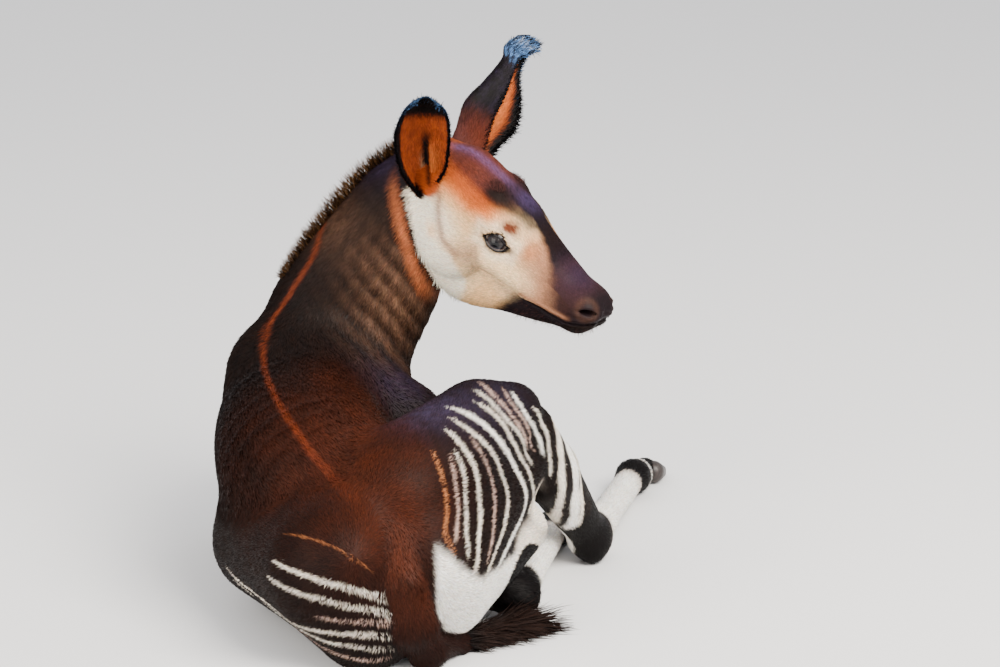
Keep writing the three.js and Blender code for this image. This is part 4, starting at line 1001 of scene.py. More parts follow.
def body_colour(p):
    """Nearly black with chestnut patches, painted bluish sheen on the hips, the nape and the shoulder,
    painted light and shade on the folds of the neck and a painted brown sheen on it, the line and the
    stripes.
    """
    x, y, z = p.T
    fine, wobble = lumps(p, 17, 4.0), 0.7 * lumps(p, 9, 5)
    c = paint(BLACK_BROWN, SOOT, 0.5 + 0.4 * fine)
    c = patches(p, c, CHESTNUT, CHESTNUT_PATCHES, 0.85 + 0.45 * lumps(p, 46, 1.0) + 0.2 * fine)
    # Painted bluish sheen on the hips and the back
    c = patches(p, c, HIP_SHEEN_BLUE, HIP_SHEEN_PATCHES, 0.9 + 0.4 * fine)
    # Painted light on the crests of the neck's folds and painted shade in their troughs
    high, strength = neck_folds(p)
    c = paint(c, NECK_SHEEN_BROWN, np.clip(0.5 + 0.5 * high, 0, 1) * strength * (0.75 + 0.4 * fine))
    c = paint(c, SOOT, np.clip(-high, 0, 1) * strength * 0.8)
    # Painted bluish sheen on the nape and the shoulder
    shine = spot(p, (-122, 185, 434), 26) + spot(p, (-107, 87, 216), 30)
    c = paint(c, BLUE_SHEEN, 0.5 * shine * (0.8 + 0.4 * fine))
    # Painted lighter brown sheen in patches on the neck
    c = patches(p, c, NECK_SHEEN_BROWN, NECK_SHEEN_PATCHES, 0.7 + 0.6 * fine)
    near, share = near_line(p, DORSAL, 25)
    width = np.interp(share, [0, 0.25, 0.5, 0.75, 1], [3.0, 2.7, 2.5, 3.2, 7.0]) + 0.8 * lumps(p, 22, 7)
    faded = ramp(share, 0, 0.08) * ramp(share, 1.0, 0.72)
    c = paint(c, RUFOUS, 0.85 * ramp(near + wobble, width + 2.4, width - 1.8) * faded)
    for colour, half, line in STRIPES:
        near, share = near_line(p, line, 12)
        w = half * np.clip(np.minimum(share / 0.14, (1 - share) / 0.1) + 0.15, 0, 1)
        c = paint(c, colour, ramp(near + 0.5 * wobble, w + 0.7, w - 0.7))
    c = leg_rings(p, c)
    # The white seat and the inside of the thigh, with the stripes fading into it
    seat = ramp(z - np.interp(x, *SEAT_EDGE) + 2.5 * lumps(p, 14, 3), 6, -6)
    c = paint(c, WHITE, seat * ramp(x, -66, -60) * ramp(y, 20, -20) * (x < 70))
    return paint(c, CREAM, ramp(spot(p, (42, 10, 108), 30) + spot(p, (20, -50, 70), 40), 0.35, 0.7))


# Edges on the face, each over the place along the head: the crown's lower edge, the top of the long
# fur of the cheek, the half width of the dark stripe down the nose, the side offset of the painted sheen
# along the crown's ridge
CROWN_EDGE = [-20, 20, 39, 60, 79, 100, 117, 128], [6, 4, 4, 4, 5, 8, 12, 16]
FUR_EDGE = [60, 78, 107, 125, 140], [-60, -71, -67, -75, -92]
NOSE_HALF = [110, 117, 136, 148, 166, 182, 201, 218, 240], [26, 24, 20, 15, 16, 22, 28, 32, 34]
RIDGE_SHEEN = [0, 60, 100], [12, 6, 2]
# Lines on the face, along and up; along the jaw's and the cheek's lines shadow is painted
JAW_SHADOW_LINE = [(56, -24), (66, -40), (76, -49), (92, -60), (112, -62)]
CHEEK_SHADOW_LINE = [(122, -40), (144, -54), (168, -62), (186, -60)]
BROW_LINE = [(96, 12), (112, 11), (125, 13), (136, 14), (150, 13)]
EAR_LINE_HIGH = [(22, -14), (30, -20), (40, -28)]
EAR_LINE_LOW = [(16, -50), (27, -46), (40, -46)]


def to_mark(a, u, line):
    """Distance to a line on the side of the face."""
    return to_line(np.stack([a, u], -1), np.array(line, float))[0]


def cheek_colour(a, u, flat, wave):
    """Cream and white, peach below, with painted grey shadow along the folds of the jaw and a painted peach
    shadow beside them, rusty under the crown.
    """
    c = paint(FACE_CREAM, CHEEK_WHITE, ramp(a + 0.25 * u, 100, 60) * ramp(u, -22, -34))
    # Painted peach-tinted shadow by the crease of the jaw
    c = paint(c, PEACH, 0.6 * spot(flat, (76, -64, 0), 11))
    c = paint(c, CHEEK_WHITE, ramp(u + wave - np.interp(a, *FUR_EDGE), 3, -3) * ramp(a, 146, 136))
    c = paint(c, FAWN, 0.9 * spot(flat, (172, -4, 0), 17))
    c = paint(c, PEACH, 0.7 * ramp(u + wave, -58, -80) * ramp(a, 136, 156) * ramp(a, 200, 182))
    c = paint(c, PEACH, 0.55 * ramp(u + wave, -48, -28) * ramp(a, 150, 120))
    # Painted grey shadow along the creases of the jaw and the cheek
    c = paint(c, FACE_GREY, 0.7 * spot(flat, (122, -56, 0), 15))
    c = paint(c, FACE_GREY, 0.75 * bell(to_mark(a, u, JAW_SHADOW_LINE), 0, 4.5))
    c = paint(c, FACE_GREY, 0.4 * bell(to_mark(a, u, CHEEK_SHADOW_LINE), 0, 5))
    top = np.interp(a, *CROWN_EDGE)
    c = paint(c, ORANGE, ramp(u + wave, top - 36, top - 13) * ramp(a, 136, 106))
    c = paint(c, EAR_RUST, 0.85 * ramp(u + wave, top - 22, top - 6) * ramp(a, 118, 96))
    c = paint(c, BLACK_BROWN, 0.75 * ramp(a + wave, 26, 4) * ramp(u, -34, -18))
    snout = a + 0.63 * (u + 33) + 1.5 * wave
    c = paint(c, MUZZLE, 0.95 * ramp(snout, 172, 212))
    return paint(c, MUZZLE_DARK, ramp(snout, 204, 238))


def crown_colour(a, u, r, flat, fine):
    """Dark brown with painted bluish sheen along the ridge, on the forehead and on the top of the nose, and
    down the nose nearly black.
    """
    q = np.stack([a, u, r], -1)
    c = paint(CROWN, RUFOUS, 0.7 * spot(flat, (60, 8, 0), 26) * (0.8 + 0.4 * fine))
    c = paint(c, MUZZLE_DARK, ramp(a, 84, 104) * 0.9)
    # Painted lavender sheen along the ridge and in a spot on the forehead, with painted bluish sheen there
    ridge = bell(r, np.interp(a, *RIDGE_SHEEN), 9) * ramp(a, 112, 88)
    c = paint(c, LAVENDER_SHEEN, 0.34 * ridge * (0.7 + 0.5 * fine))
    c = paint(c, LAVENDER_SHEEN, 0.6 * spot(q, (128, 20, 1), 15) * (0.7 + 0.5 * fine))
    c = paint(c, BLUE_SHEEN, 0.8 * spot(q, (128, 20, 2), 26))
    c = paint(c, SOOT, 0.8 * ramp(a, 122, 150) * ramp(a, 210, 190))
    # Painted bluish sheen on the top of the nose
    return paint(c, BLUE_SHEEN, 0.6 * spot(q, (222, 4, 6), 26))


def side_marks(p, c, a, u, r, s, fine):
    """The bump of the forehead, the root of the ear and what frames the eye, on the side s."""
    c = paint(c, BLACK_BROWN, 0.95 * spot(p, in_head(103, 14, 29 * s), 11))
    c = paint(c, BLACK_BROWN, 0.6 * spot(p, in_head(112, 13, 20 * s), 8))
    here = s * r > 25
    c = paint(c, EAR_RUST, ramp(np.hypot((a - 33) / 21, (u + 28) / 18), 1.1, 0.9) * here)
    c = paint(c, SOOT, bell(to_mark(a, u, EAR_LINE_HIGH), 0, 3.5) * here)
    c = paint(c, SOOT, ramp(to_mark(a, u, EAR_LINE_LOW), 6, 4) * here)
    x, y, _ = eye_coords(p, s)
    lid = almond(x, y)
    hit = away(p, EYES[s]) < 34
    c = paint(c, EYE_PALE, 0.75 * bell(lid, 9, 6) * hit)
    c = paint(c, NEAR_EYE, 1.8 * bell(a, 138, 8.5) * bell(u, 1, 5.4) * (s * r > 20) * (0.8 + 0.4 * fine))
    c = paint(c, SOOT, ramp(lid - 1.0 * (x > 6), 3.4, 1.8) * hit)
    c = paint(c, SOOT, 0.8 * bell(x, 17, 5) * bell(y, -0.5, 3) * hit)
    return paint(c, SOOT, 0.5 * bell(x, -16, 3) * bell(y, 1, 2) * hit)


def mouth_marks(p, c, a, u, wave):
    """Dark nose and lower lip, pale edge of the upper lip."""
    c = paint(c, NOSE, ramp(a + 0.4 * wave, 236, 258))
    near, along = to_mouth(a, u)
    above = (u > mouth_height(a)) & (a > 188)
    c = paint(c, MUZZLE, 0.85 * bell(near, 5, 2.6) * above * ramp(along, 0.4, 0.55))
    c = paint(c, NOSE, bell(near, 0, 1.8) * (along < 0.99))
    below = ramp(mouth_height(a) - u, -1, 1.5)
    c = paint(c, NOSE, below * ramp(a - 0.3 * (u + 50) + wave, 180, 196))
    for s in SIDES:
        c = paint(c, MUZZLE, 0.1 * bell(away(p, in_head(256, -8, 24 * s)), 11, 3))
    return c


def face_colour(p, a, u, r):
    """Cream cheek below a dark crown that runs down the nose."""
    side, flat = np.abs(r), np.stack([a, u, 0 * a], -1)
    wave = 2.2 * lumps(p, 21, 6) + 1.0 * lumps(p, 7, 2)
    fine = lumps(p, 6, 3)
    top = np.interp(a, *CROWN_EDGE)
    half = np.interp(a, *NOSE_HALF)
    on_crown = ramp(u + 0.7 * wave, top - 7, top + 5) * ramp(a, 136, 122)
    on_nose = ramp(side + 0.8 * wave, half + 5, half - 5) * ramp(a, 106, 122) * (u > -16)
    crown = crown_colour(a, u, r, flat, fine)
    c = paint(cheek_colour(a, u, flat, wave), crown, np.maximum(on_crown, on_nose))
    c = paint(c, SOOT, 0.85 * bell(to_mark(a, u, BROW_LINE), 0, 6) * ramp(side, 10, 16))
    for s in SIDES:
        c = side_marks(p, c, a, u, r, s, fine)
    return mouth_marks(p, c, a, u, wave)


def cheek_edge(a, u):
    """Past the white cheek's back edge, millimetres."""
    return 4.5 - 0.568 * (a - 28) - 0.823 * (u + 67)


FORE_LEGS = [(CARPUS_R, FORE_FETLOCK_R, FORE_CORONET_R), (CARPUS_L, FORE_FETLOCK_L, FORE_CORONET_L)]


def leg_colour(p, c):
    """Hocks and knees black, cannons white, fetlocks black with a thin ring."""
    hock = ramp((p - V(108, 112, 60)) @ unit(V(0.1, 0.93, -0.3)), 26, 22) * (spot(p, HOCK_R, 46) > 0.2)
    c = paint(c, SOOT, hock * ramp(limb_coords(p, KNEE_R, HOCK_R)[0], 0.72, 0.75))
    hock = ramp(limb_coords(p, KNEE_L, HOCK_L)[0], 0.78, 0.82) * (spot(p, HOCK_L, 44) > 0.2)
    c = paint(c, SOOT, hock)
    c = lower_leg(p, c, HOCK_R, FETLOCK_R, CORONET_R, 34, 0.12)
    c = lower_leg(p, c, HOCK_L, FETLOCK_L, CORONET_L, 34, 0.16)
    for carpus, fetlock, coronet in FORE_LEGS:
        c = paint(c, SOOT, ramp(spot(p, carpus, 34), 0.3, 0.5))
        c = lower_leg(p, c, carpus, fetlock, coronet, 28, 0.14)
    return c


NECK_LOW = 285


def tail_colour(p, c):
    near, z = np.minimum.reduce([s.distance(p) for s in GROUPS["tail"][0]]), p[:, 2]
    brown = paint(TAIL_BROWN, SOOT, 0.1 + 0.75 * ramp(z, 130, 20))
    low = 5 * ramp(z, 64, 44)
    return paint(c, brown, ramp(near, 3 + low, low - 2.0) * ramp(z, 165, 135))


def coat_colour(p):
    """The colour of skin and coat: the body's, the band behind the cheek, the face, the legs, the tail."""
    c = body_colour(p)
    a, u, r = head_coords(p)
    edge = cheek_edge(a, u) + 1.2 * lumps(p, 12, 8)
    band = ramp(edge, 6, 9) * ramp(edge, 19.5, 15) * ramp(a, -8, 22) * ramp(a, 122, 100)
    up = p[:, 2] > NECK_LOW
    c = paint(c, BAND, 0.85 * band * up)
    head = np.nonzero(up & (edge < 3) & (a > -40))[0]
    if len(head):
        a, u, r, edge = a[head], u[head], r[head], edge[head]
        back = mix(ramp(a, -38, -14), ramp(a + 0.2 * (u + 60), 17, 26), ramp(u, -28, -44))
        c[head] = paint(c[head], face_colour(p[head], a, u, r), ramp(edge, 1.0, -1.0) * back)
    return tail_colour(p, leg_colour(p, c))


# The unwrap used for OFBake: each shape of the body is one cylinder, laid out in its own rectangle
MAP_GAP, MAP_WIDEST = 0.004, 0.99
MAP_SCALES = np.geomspace(1, 0.02, 90) / 420


def nearest_shape(p):
    """Number of the nearest shape."""
    return distances(p).argmin(0)


def shape_place(index, p):
    """Place along and round the numbered shape of each point."""
    t, angle = np.zeros(len(p)), np.zeros(len(p))
    for i in np.unique(index):
        use = index == i
        t[use], angle[use] = SHAPES[i][1].place(p[use])
    return t, angle


def atlas(used):
    """Rectangles for the used shapes inside the unit square: corner and size of each."""
    for scale in MAP_SCALES:
        spots, x, y, row = {}, MAP_GAP, MAP_GAP, 0.0
        for i in sorted(used, key=lambda k: -SHAPES[k][1].laid_out[1]):
            w, h = (side * scale for side in SHAPES[i][1].laid_out)
            if x + w > 1 - MAP_GAP:
                x, y, row = MAP_GAP, y + row + MAP_GAP, 0.0
            if w > MAP_WIDEST:
                break
            spots[i] = (x, y, w, h)
            x += w + MAP_GAP
            row = max(row, h)
        if len(spots) == len(used) and y + row < 1 - MAP_GAP:
            return spots
    raise ValueError("no room in the unwrap")


def unwrap(index, t, angle, spots):
    """Places in the map, inside the rectangle of each one's shape."""
    box = np.zeros((len(SHAPES), 4))
    for i, s in spots.items():
        box[i] = s
    b = box[index]
    return np.stack([b[:, 0] + b[:, 2] * np.clip(angle, 0, 1), b[:, 1] + b[:, 3] * np.clip(t, 0, 1)], -1)


def skin_bake_map(points, tris):
    """The map of every corner, with no triangle across the seam of its cylinder."""
    centre = points[tris].mean(1)
    index = nearest_shape(centre)
    _, middle = shape_place(index, centre)
    spots = atlas(np.unique(index))
    corners = []
    for k in range(3):
        t, angle = shape_place(index, points[tris[:, k]])
        angle = angle - np.rint(angle - middle)
        corners.append(unwrap(index, t, angle, spots))
    return np.stack(corners, 1).reshape(-1, 2)


def mesh_object(name, points, faces, slot, colour, corner_uv=None, normals=None):
    """A mesh from arrays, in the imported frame's metres, with its colours and its OFBake map."""
    mesh = bpy.data.meshes.new(name)
    faces = np.ascontiguousarray(faces, np.int32)
    mesh.vertices.add(len(points))
    mesh.vertices.foreach_set("co", to_world(points).astype(np.float32).ravel())
    mesh.loops.add(faces.size)
    mesh.loops.foreach_set("vertex_index", faces.ravel())
    mesh.polygons.add(len(faces))
    mesh.polygons.foreach_set("loop_start", np.arange(0, faces.size, faces.shape[1], dtype=np.int32))
    mesh.polygons.foreach_set("use_smooth", np.ones(len(faces), bool))
    if corner_uv is not None:
        layer = mesh.uv_layers.new(name="OFBake")
        layer.data.foreach_set("uv", corner_uv.astype(np.float32).ravel())
    layer = mesh.attributes.new("coat", "FLOAT_COLOR", "POINT")
    rgba = np.ones((len(points), 4), np.float32)
    rgba[:, :3] = colour
    layer.data.foreach_set("color", rgba.ravel())
    mesh.update(calc_edges=True)
    if normals is not None:
        mesh.normals_split_custom_set_from_vertices(normals.astype(np.float32))
    piece = placed(name, mesh)
    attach(piece, "root")
    mesh.materials.append(MATERIALS[slot])
    return piece


def placed(name, data, place=(0, 0, 0), turn=(0, 0, 0)):
    """An object of the scene, turned by degrees."""
    thing = bpy.data.objects.new(name, data)
    thing.location = place
    thing.rotation_euler = [math.radians(angle) for angle in turn]
    bpy.context.scene.collection.objects.link(thing)
    return thing


def coat_material(name, rough, sheen, tint, bump, gloss):
    """The coat's own colour, mottled, with a fine relief."""
    m = bpy.data.materials.new(name)
    m.use_nodes = True
    nodes, links = m.node_tree.nodes, m.node_tree.links

    def node(kind, **values):
        made = nodes.new("ShaderNode" + kind)
        for key, value in values.items():
            made.inputs[key.replace("_", " ")].default_value = value
        return made

    skin = nodes["Principled BSDF"]
    colour, place = node("Attribute"), node("TexCoord")
    colour.attribute_name = "coat"
    mottle, fine = node("TexNoise", Scale=420, Detail=4), node("TexNoise", Scale=1500, Detail=2)
    dark, scale = node("MapRange", To_Min=0.72, To_Max=1.22), node("VectorMath")
    relief = node("Bump", Strength=bump, Distance=0.0005)
    scale.operation = "SCALE"
    for source, output, target, value in (
        (place, "Object", mottle, "Vector"), (mottle, "Fac", dark, "Value"),
        (colour, "Color", scale, 0), (dark, "Result", scale, "Scale"), (scale, "Vector", skin, "Base Color"),
        (place, "Object", fine, "Vector"), (fine, "Fac", relief, "Height"),
        (relief, "Normal", skin, "Normal"),
    ):
        links.new(source.outputs[output], target.inputs[value])
    for key, value in (
        ("Roughness", rough), ("Specular IOR Level", gloss), ("Sheen Weight", sheen),
        ("Sheen Roughness", 0.45), ("Sheen Tint", (*tint, 1)),
    ):
        skin.inputs[key].default_value = value
    return m


# Roughness, sheen and its tint, relief, gloss
LOOKS = {
    "coat_dark": (0.42, 0.0, (0.9, 0.78, 0.8), 0.3, 0.06),
    "coat_striped": (0.45, 0.0, (0.6, 0.65, 1.0), 0.3, 0.06),
    "coat_white": (0.6, 0.03, (1.0, 0.97, 0.92), 0.3, 0.06),
    "coat_face": (0.5, 0.01, (0.85, 0.8, 1.0), 0.25, 0.06),
    "coat_ear": (0.45, 0.01, (0.7, 0.75, 1.0), 0.3, 0.06),
    "hoof_horn": (0.38, 0.0, (1, 1, 1), 0.4, 0.5),
    "eye": (0.06, 0.0, (1, 1, 1), 0.0, 0.16),
}
MATERIALS = {name: coat_material(name, *look) for name, look in LOOKS.items()}
wet = MATERIALS["eye"].node_tree.nodes["Principled BSDF"].inputs
wet["Coat Weight"].default_value = 0.2
wet["Coat Roughness"].default_value = 0.02

rng = np.random.default_rng(27)
SKIN_SHADE = 0.8
skin = mesh_object("skin", skin_points, skin_tris, "coat_dark", coat_colour(skin_points) * SKIN_SHADE,
                   skin_bake_map(skin_points, skin_tris))
FLESH = [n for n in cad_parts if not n.startswith(("eye", "ear")) and "claw" not in n]
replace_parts(skin, *FLESH)


# Hair of each group: how many to the square millimetre, length, width
HAIR = {
    "trunk": (0.26, 10.0, 1.8), "neck": (0.3, 9.5, 1.7), "tail": (0.45, 11.0, 1.6),
    "hind_right": (0.28, 6.6, 1.6), "hind_left": (0.22, 8.0, 1.7), "fore_right": (0.3, 8.0, 1.6),
    "fore_left": (0.3, 8.0, 1.6), "cannon_right": (0.45, 6.5, 1.3), "cannon_left": (0.45, 6.5, 1.3),
    "head": (0.75, 4.8, 1.1),
}
FLOW_BLEND = 8.0
DROOP, CHEEK_DROOP, DISORDER = 0.45, 0.5, 0.16
HAIR_TABLE = np.array([HAIR[g] for g, _ in SHAPES])
HAIR_TABLE[THIGH_RIGHT] = (0.5, 4.6, 1.6)
HAIR_TABLE[THIGH_LEFT] = (0.4, 5.0, 1.7)
MUZZLE_HAIR = V(1.1, 3.0, 0.85)
HAIR_SHARE = 1.0
# Triangles of a piece at most, half a tuft's patch in the map, height that only the neck and head pass
PIECE_MOST = 190000
TUFT_IN_MAP = 0.0015
HEAD_FLOOR = 290
BARE_FLOOR, BARE_MOUTH, BARE_NOSTRIL = 1.5, 2.0, 8
# The coat stays inside the solids' box and above the floor
BOX_SPARE = V(0.3, 0.3, 0.3)
HAIR_LOW = np.array(CAD_LOW) / METRE - SHIFT + BOX_SPARE
HAIR_LOW[2] = 0.25
HAIR_HIGH = np.array(CAD_HIGH) / METRE - SHIFT - BOX_SPARE


def hair_flow(p, each, normals):
    """The lie of the coat: along the shapes, drawn down by its weight, with some disorder."""
    w = weights(each, FLOW_BLEND)
    flow = np.zeros_like(p)
    for i, (_, shape) in enumerate(SHAPES):
        use = w[i] > 0.02
        if use.any():
            flow[use] += w[i][use, None] * shape.flow(p[use])
    a, u, _ = head_coords(p)
    on_head = (p[:, 2] > HEAD_FLOOR) & (a > 0)
    flow[:, 2] -= np.where(on_head, 0, DROOP) * (1 - np.abs(normals[:, 2]))
    flow -= (on_head * CHEEK_DROOP * ramp(u, -20, -60))[:, None] * HEAD_U
    flow += DISORDER * np.stack([lumps(p, 38, k) for k in (1, 2, 3)], -1)
    flow -= dot(flow, normals)[:, None] * normals
    return unit(flow)


def bare(p):
    """Where no tuft is rooted: inside the lids, the mouth and the nostrils, and under the body."""
    a, u, _ = head_coords(p)
    out = p[:, 2] < BARE_FLOOR
    for s in SIDES:
        x, y, _ = eye_coords(p, s)
        out |= (almond(x, y) < 2.0) & (away(p, EYES[s]) < 24)
        out |= away(p, on_side(NOSTRIL, s)) < BARE_NOSTRIL
    near, along = to_mouth(a, u)
    return out | ((near < BARE_MOUTH) & (along < 0.99) & (p[:, 2] > HEAD_FLOOR))


class Hide:
    """A mesh that hair is rooted in, and what the hair needs at its points."""

    def __init__(self, points, tris, normals, flow, hair, depth, colour, uv):
        self.points, self.tris, self.normals, self.flow = points, tris, normals, flow
        self.hair, self.depth, self.colour, self.uv = hair, depth, colour, uv
        corner = points[tris]
        self.middle = corner.mean(1)
        cross = np.cross(corner[:, 1] - corner[:, 0], corner[:, 2] - corner[:, 0])
        self.area = 0.5 * np.linalg.norm(cross, axis=-1)

    def roots(self, faces, to_mm2):
        """Random roots on the faces, so many to the square millimetre of each."""
        want = self.area[faces] * to_mm2 * HAIR_SHARE
        host = np.repeat(faces, np.floor(want + rng.random(len(want))).astype(int))
        b = rng.random((len(host), 2))
        over = b.sum(1) > 1
        b[over] = 1 - b[over]
        b = np.stack([1 - b.sum(1), b[:, 0], b[:, 1]], -1)
        keep = ~bare((self.points[self.tris[host]] * b[..., None]).sum(1))
        return Roots(self, host[keep], b[keep])

    def coat(self, faces):
        """Roots of the short coat, as dense as the hair there."""
        return self.roots(faces, self.hair[self.tris[faces]].mean(1)[:, 0])


class Roots:
    """Places on a hide, with the lie of the coat there."""

    def __init__(self, hide, host, b):
        self.hide, self.host, self.b = hide, host, b
        self.at = self.blend(hide.points)
        self.n = unit(self.blend(hide.normals))
        flow = self.blend(hide.flow)
        self.f = unit(flow - dot(flow, self.n)[:, None] * self.n)
        self.side = np.cross(self.n, self.f)
        _, self.length, self.width = self.blend(hide.hair).T
        self.depth = self.blend(hide.depth)

    def __len__(self):
        return len(self.host)

    def blend(self, values):
        """Values of the hide's points at the roots."""
        picked = values[self.hide.tris[self.host]]
        return (picked * self.b[..., None]).sum(1) if values.ndim > 1 else (picked * self.b).sum(1)

    def only(self, pick):
        return Roots(self.hide, self.host[pick], self.b[pick])

    def colour(self):
        return self.hide.colour(self)

    def uv(self):
        return self.hide.uv(self)


class Spots:
    """Loose places for a few hairs: where, the way out, and their place in the map."""

    def __init__(self, at, n, uvs):
        self.at, self.n, self.uvs = at, n, uvs

    def __len__(self):
        return len(self.at)

    def only(self, pick):
        return Spots(self.at[pick], self.n[pick], self.uvs[pick])

    def uv(self):
        return self.uvs


def hair_pieces(name, slot, roots, points, colour, normals, faces, patch):
    """One object, or several where it would be too large, in order along the body."""
    if not len(roots):
        return
    m, k = points.shape[:2]
    points, colour = np.clip(points, HAIR_LOW, HAIR_HIGH), np.clip(colour, 0, 1)
    blocks = max(1, math.ceil(m * len(faces) / PIECE_MOST))
    order = np.argsort(roots.at[:, 1] + 0.3 * roots.at[:, 0], kind="stable")
    for i in range(blocks):
        pick = order[i * m // blocks:(i + 1) * m // blocks]
        uv = np.clip(roots.only(pick).uv()[:, None] + TUFT_IN_MAP * patch, 0, 1)
        tris = (np.arange(len(pick))[:, None, None] * k + faces).reshape(-1, 3)
        at, tint, way = (values[pick].reshape(-1, 3) for values in (points, colour, normals))
        piece = name if blocks == 1 else f"{name}_{i + 1}"
        mesh_object(piece, at, tris, slot, tint, uv.reshape(-1, 2)[tris.ravel()], way)


def jitter(m):
    return rng.normal(size=(m, 3))


# Points of a dart: left and right of its root, ridge, tip; each one's place in the dart's patch of the map
DART = np.array([(0, 2, 1), (0, 1, 3), (0, 3, 2), (1, 2, 3)])
DART_PATCH = np.array([(-1, -1), (1, -1), (0.4, 0.2), (0, 1)], float)


def darts(name, slot, roots, spread=0.16):
    """Short tufts: four-sided darts with a raised ridge, sunk at the root and thin at the tip."""
    m = len(roots)
    one = lambda v: v[:, None]
    n = roots.n
    f = unit(roots.f + roots.side * one(rng.normal(0, spread, m)))
    side = np.cross(n, f)
    length = roots.length * rng.uniform(0.7, 1.25, m)
    width = roots.width * rng.uniform(0.75, 1.25, m)
    rise = roots.depth * rng.uniform(0.4, 0.95, m)
    sink = n * one(0.25 + 0.1 * roots.depth)
    left = roots.at - side * one(width / 2) - sink
    right = roots.at + side * one(width / 2) - sink
    aside = width * rng.normal(0, 0.12, m)
    ridge = roots.at + f * one(0.42 * length) + n * one(0.75 * rise) + side * one(aside)
    aside = width * rng.normal(0, 0.5, m)
    tip = roots.at + f * one(length) + n * one(rise) + side * one(aside)
    base = roots.colour()
    end = coat_colour(roots.at + f * one(0.9 * length)) if roots.hide is hide else base
    shade = rng.uniform(0.74, 1.22, m)[:, None] * (1 + 0.05 * jitter(m) * V(1, 0, -1))
    root, middle = base * shade * 0.8, mix(base, end, 0.45) * shade
    colour = np.stack([root, root, middle, end * shade * 1.12], 1)
    normals = unit(np.stack([n - 0.55 * side, n + 0.55 * side, n, n + 0.3 * f], 1))
    hair_pieces(name, slot, roots, np.stack([left, right, ridge, tip], 1), colour, normals, DART, DART_PATCH)


def strands(name, slot, roots, way, bend, length, width, low_tone, tip_tone, segments=4, sink=1.0, flat=0.5):
    """Long hair: tapered three-sided strips that leave along way and bend over."""
    m = len(roots)
    t = np.linspace(0, 1, segments + 1)[None, :, None]
    way, bend, n = way[:, None], bend[:, None], roots.n[:, None]
    centre = roots.at[:, None] - sink * n + (length[:, None] + sink)[..., None] * (way * t + bend * t * t)
    tangent = unit(way + 2 * t * bend)
    side = unit(np.cross(tangent, n + 0.02))
    up = np.cross(side, tangent)
    w = 0.5 * width[:, None, None] * (1 - t) ** 0.6
    rings = np.stack([centre - side * w, centre + side * w, centre + up * w * flat], 2)
    points = np.concatenate([rings[:, :-1].reshape(m, -1, 3), centre[:, -1:]], 1)
    turned = np.stack([0.5 * up - side, 0.5 * up + side, up], 2)
    normals = unit(np.concatenate([turned[:, :-1].reshape(m, -1, 3), up[:, -1:]], 1))
    low_tone, tip_tone = (np.broadcast_to(c, (m, 3))[:, None] for c in (low_tone, tip_tone))
    tone_at = mix(low_tone, tip_tone, t ** 1.3) * rng.uniform(0.75, 1.25, (m, 1, 1))
    colour = np.concatenate([np.repeat(tone_at[:, :-1], 3, 1), tone_at[:, -1:]], 1)
    ring = (0, 2, 1)
    faces = [(1, 2, 0)]
    for i in range(segments - 1):
        for e in range(3):
            p, q = 3 * i + ring[e], 3 * i + ring[(e + 1) % 3]
            faces += [(p, q, q + 3), (p, q + 3, p + 3)]
    last, end = 3 * (segments - 1), 3 * segments
    faces += [(last + ring[e], last + ring[(e + 1) % 3], end) for e in range(3)]
    patch = [(x, 2 * i / segments - 1) for i in range(segments) for x in (-1, 1, 0)] + [(0, 1)]
    hair_pieces(name, slot, roots, points, colour, normals, np.array(faces), np.array(patch, float))


each = distances(skin_points)
a, _, _ = head_coords(skin_points)
fine_face = (ramp(a, 150, 235) * (skin_points[:, 2] > HEAD_FLOOR))[:, None]
vertex_hair = (HAIR_TABLE.T @ weights(each, BLEND)).T * (1 - fine_face) + MUZZLE_HAIR * fine_face
face_shape = nearest_shape(skin_points[skin_tris].mean(1))


def skin_uv(roots):
    """Places in the map for roots on the skin."""
    index = face_shape[roots.host]
    t, angle = shape_place(index, roots.at)
    return unwrap(index, t, angle, atlas(np.unique(index)))


hide = Hide(skin_points, skin_tris, skin_normals, hair_flow(skin_points, each, skin_normals), vertex_hair,
            coat_depth(skin_points, each), lambda roots: coat_colour(roots.at), skin_uv)
group_of = np.array([g for g, _ in SHAPES])[face_shape]
thigh_r, thigh_l = np.isin(face_shape, THIGH_RIGHT), np.isin(face_shape, THIGH_LEFT)
every = np.arange(len(skin_tris))


def of_groups(*names):
    return np.isin(group_of, names)


# The short coat, piece by piece: its slot and its faces of the skin
PATCHES = {
    "coat_trunk": ("coat_dark", of_groups("trunk") & ~thigh_r & ~thigh_l),
    "coat_neck": ("coat_dark", of_groups("neck")),
    "coat_tail": ("coat_dark", of_groups("tail")),
    "coat_thigh_right": ("coat_striped", thigh_r),
    "coat_thigh_left": ("coat_striped", thigh_l),
    "coat_gaskins": ("coat_striped", of_groups("hind_right", "hind_left")),
    "coat_forearms": ("coat_striped", of_groups("fore_right", "fore_left")),
    "coat_cannons": ("coat_white", of_groups("cannon_right", "cannon_left")),
    "coat_head": ("coat_face", of_groups("head")),
}
for name, (slot, use) in PATCHES.items():
    darts(name, slot, hide.coat(every[use]))

# The mane's line and its share with hair, and where the tail's tuft starts and which way it lies
CREST_STEPS = 40
CREST_FROM, CREST_TO = 0.27, 0.97
TUFT_ROOT, TUFT_WAY = V(-44, -142, 12), unit(V(0.94, 0.33, 0.02))


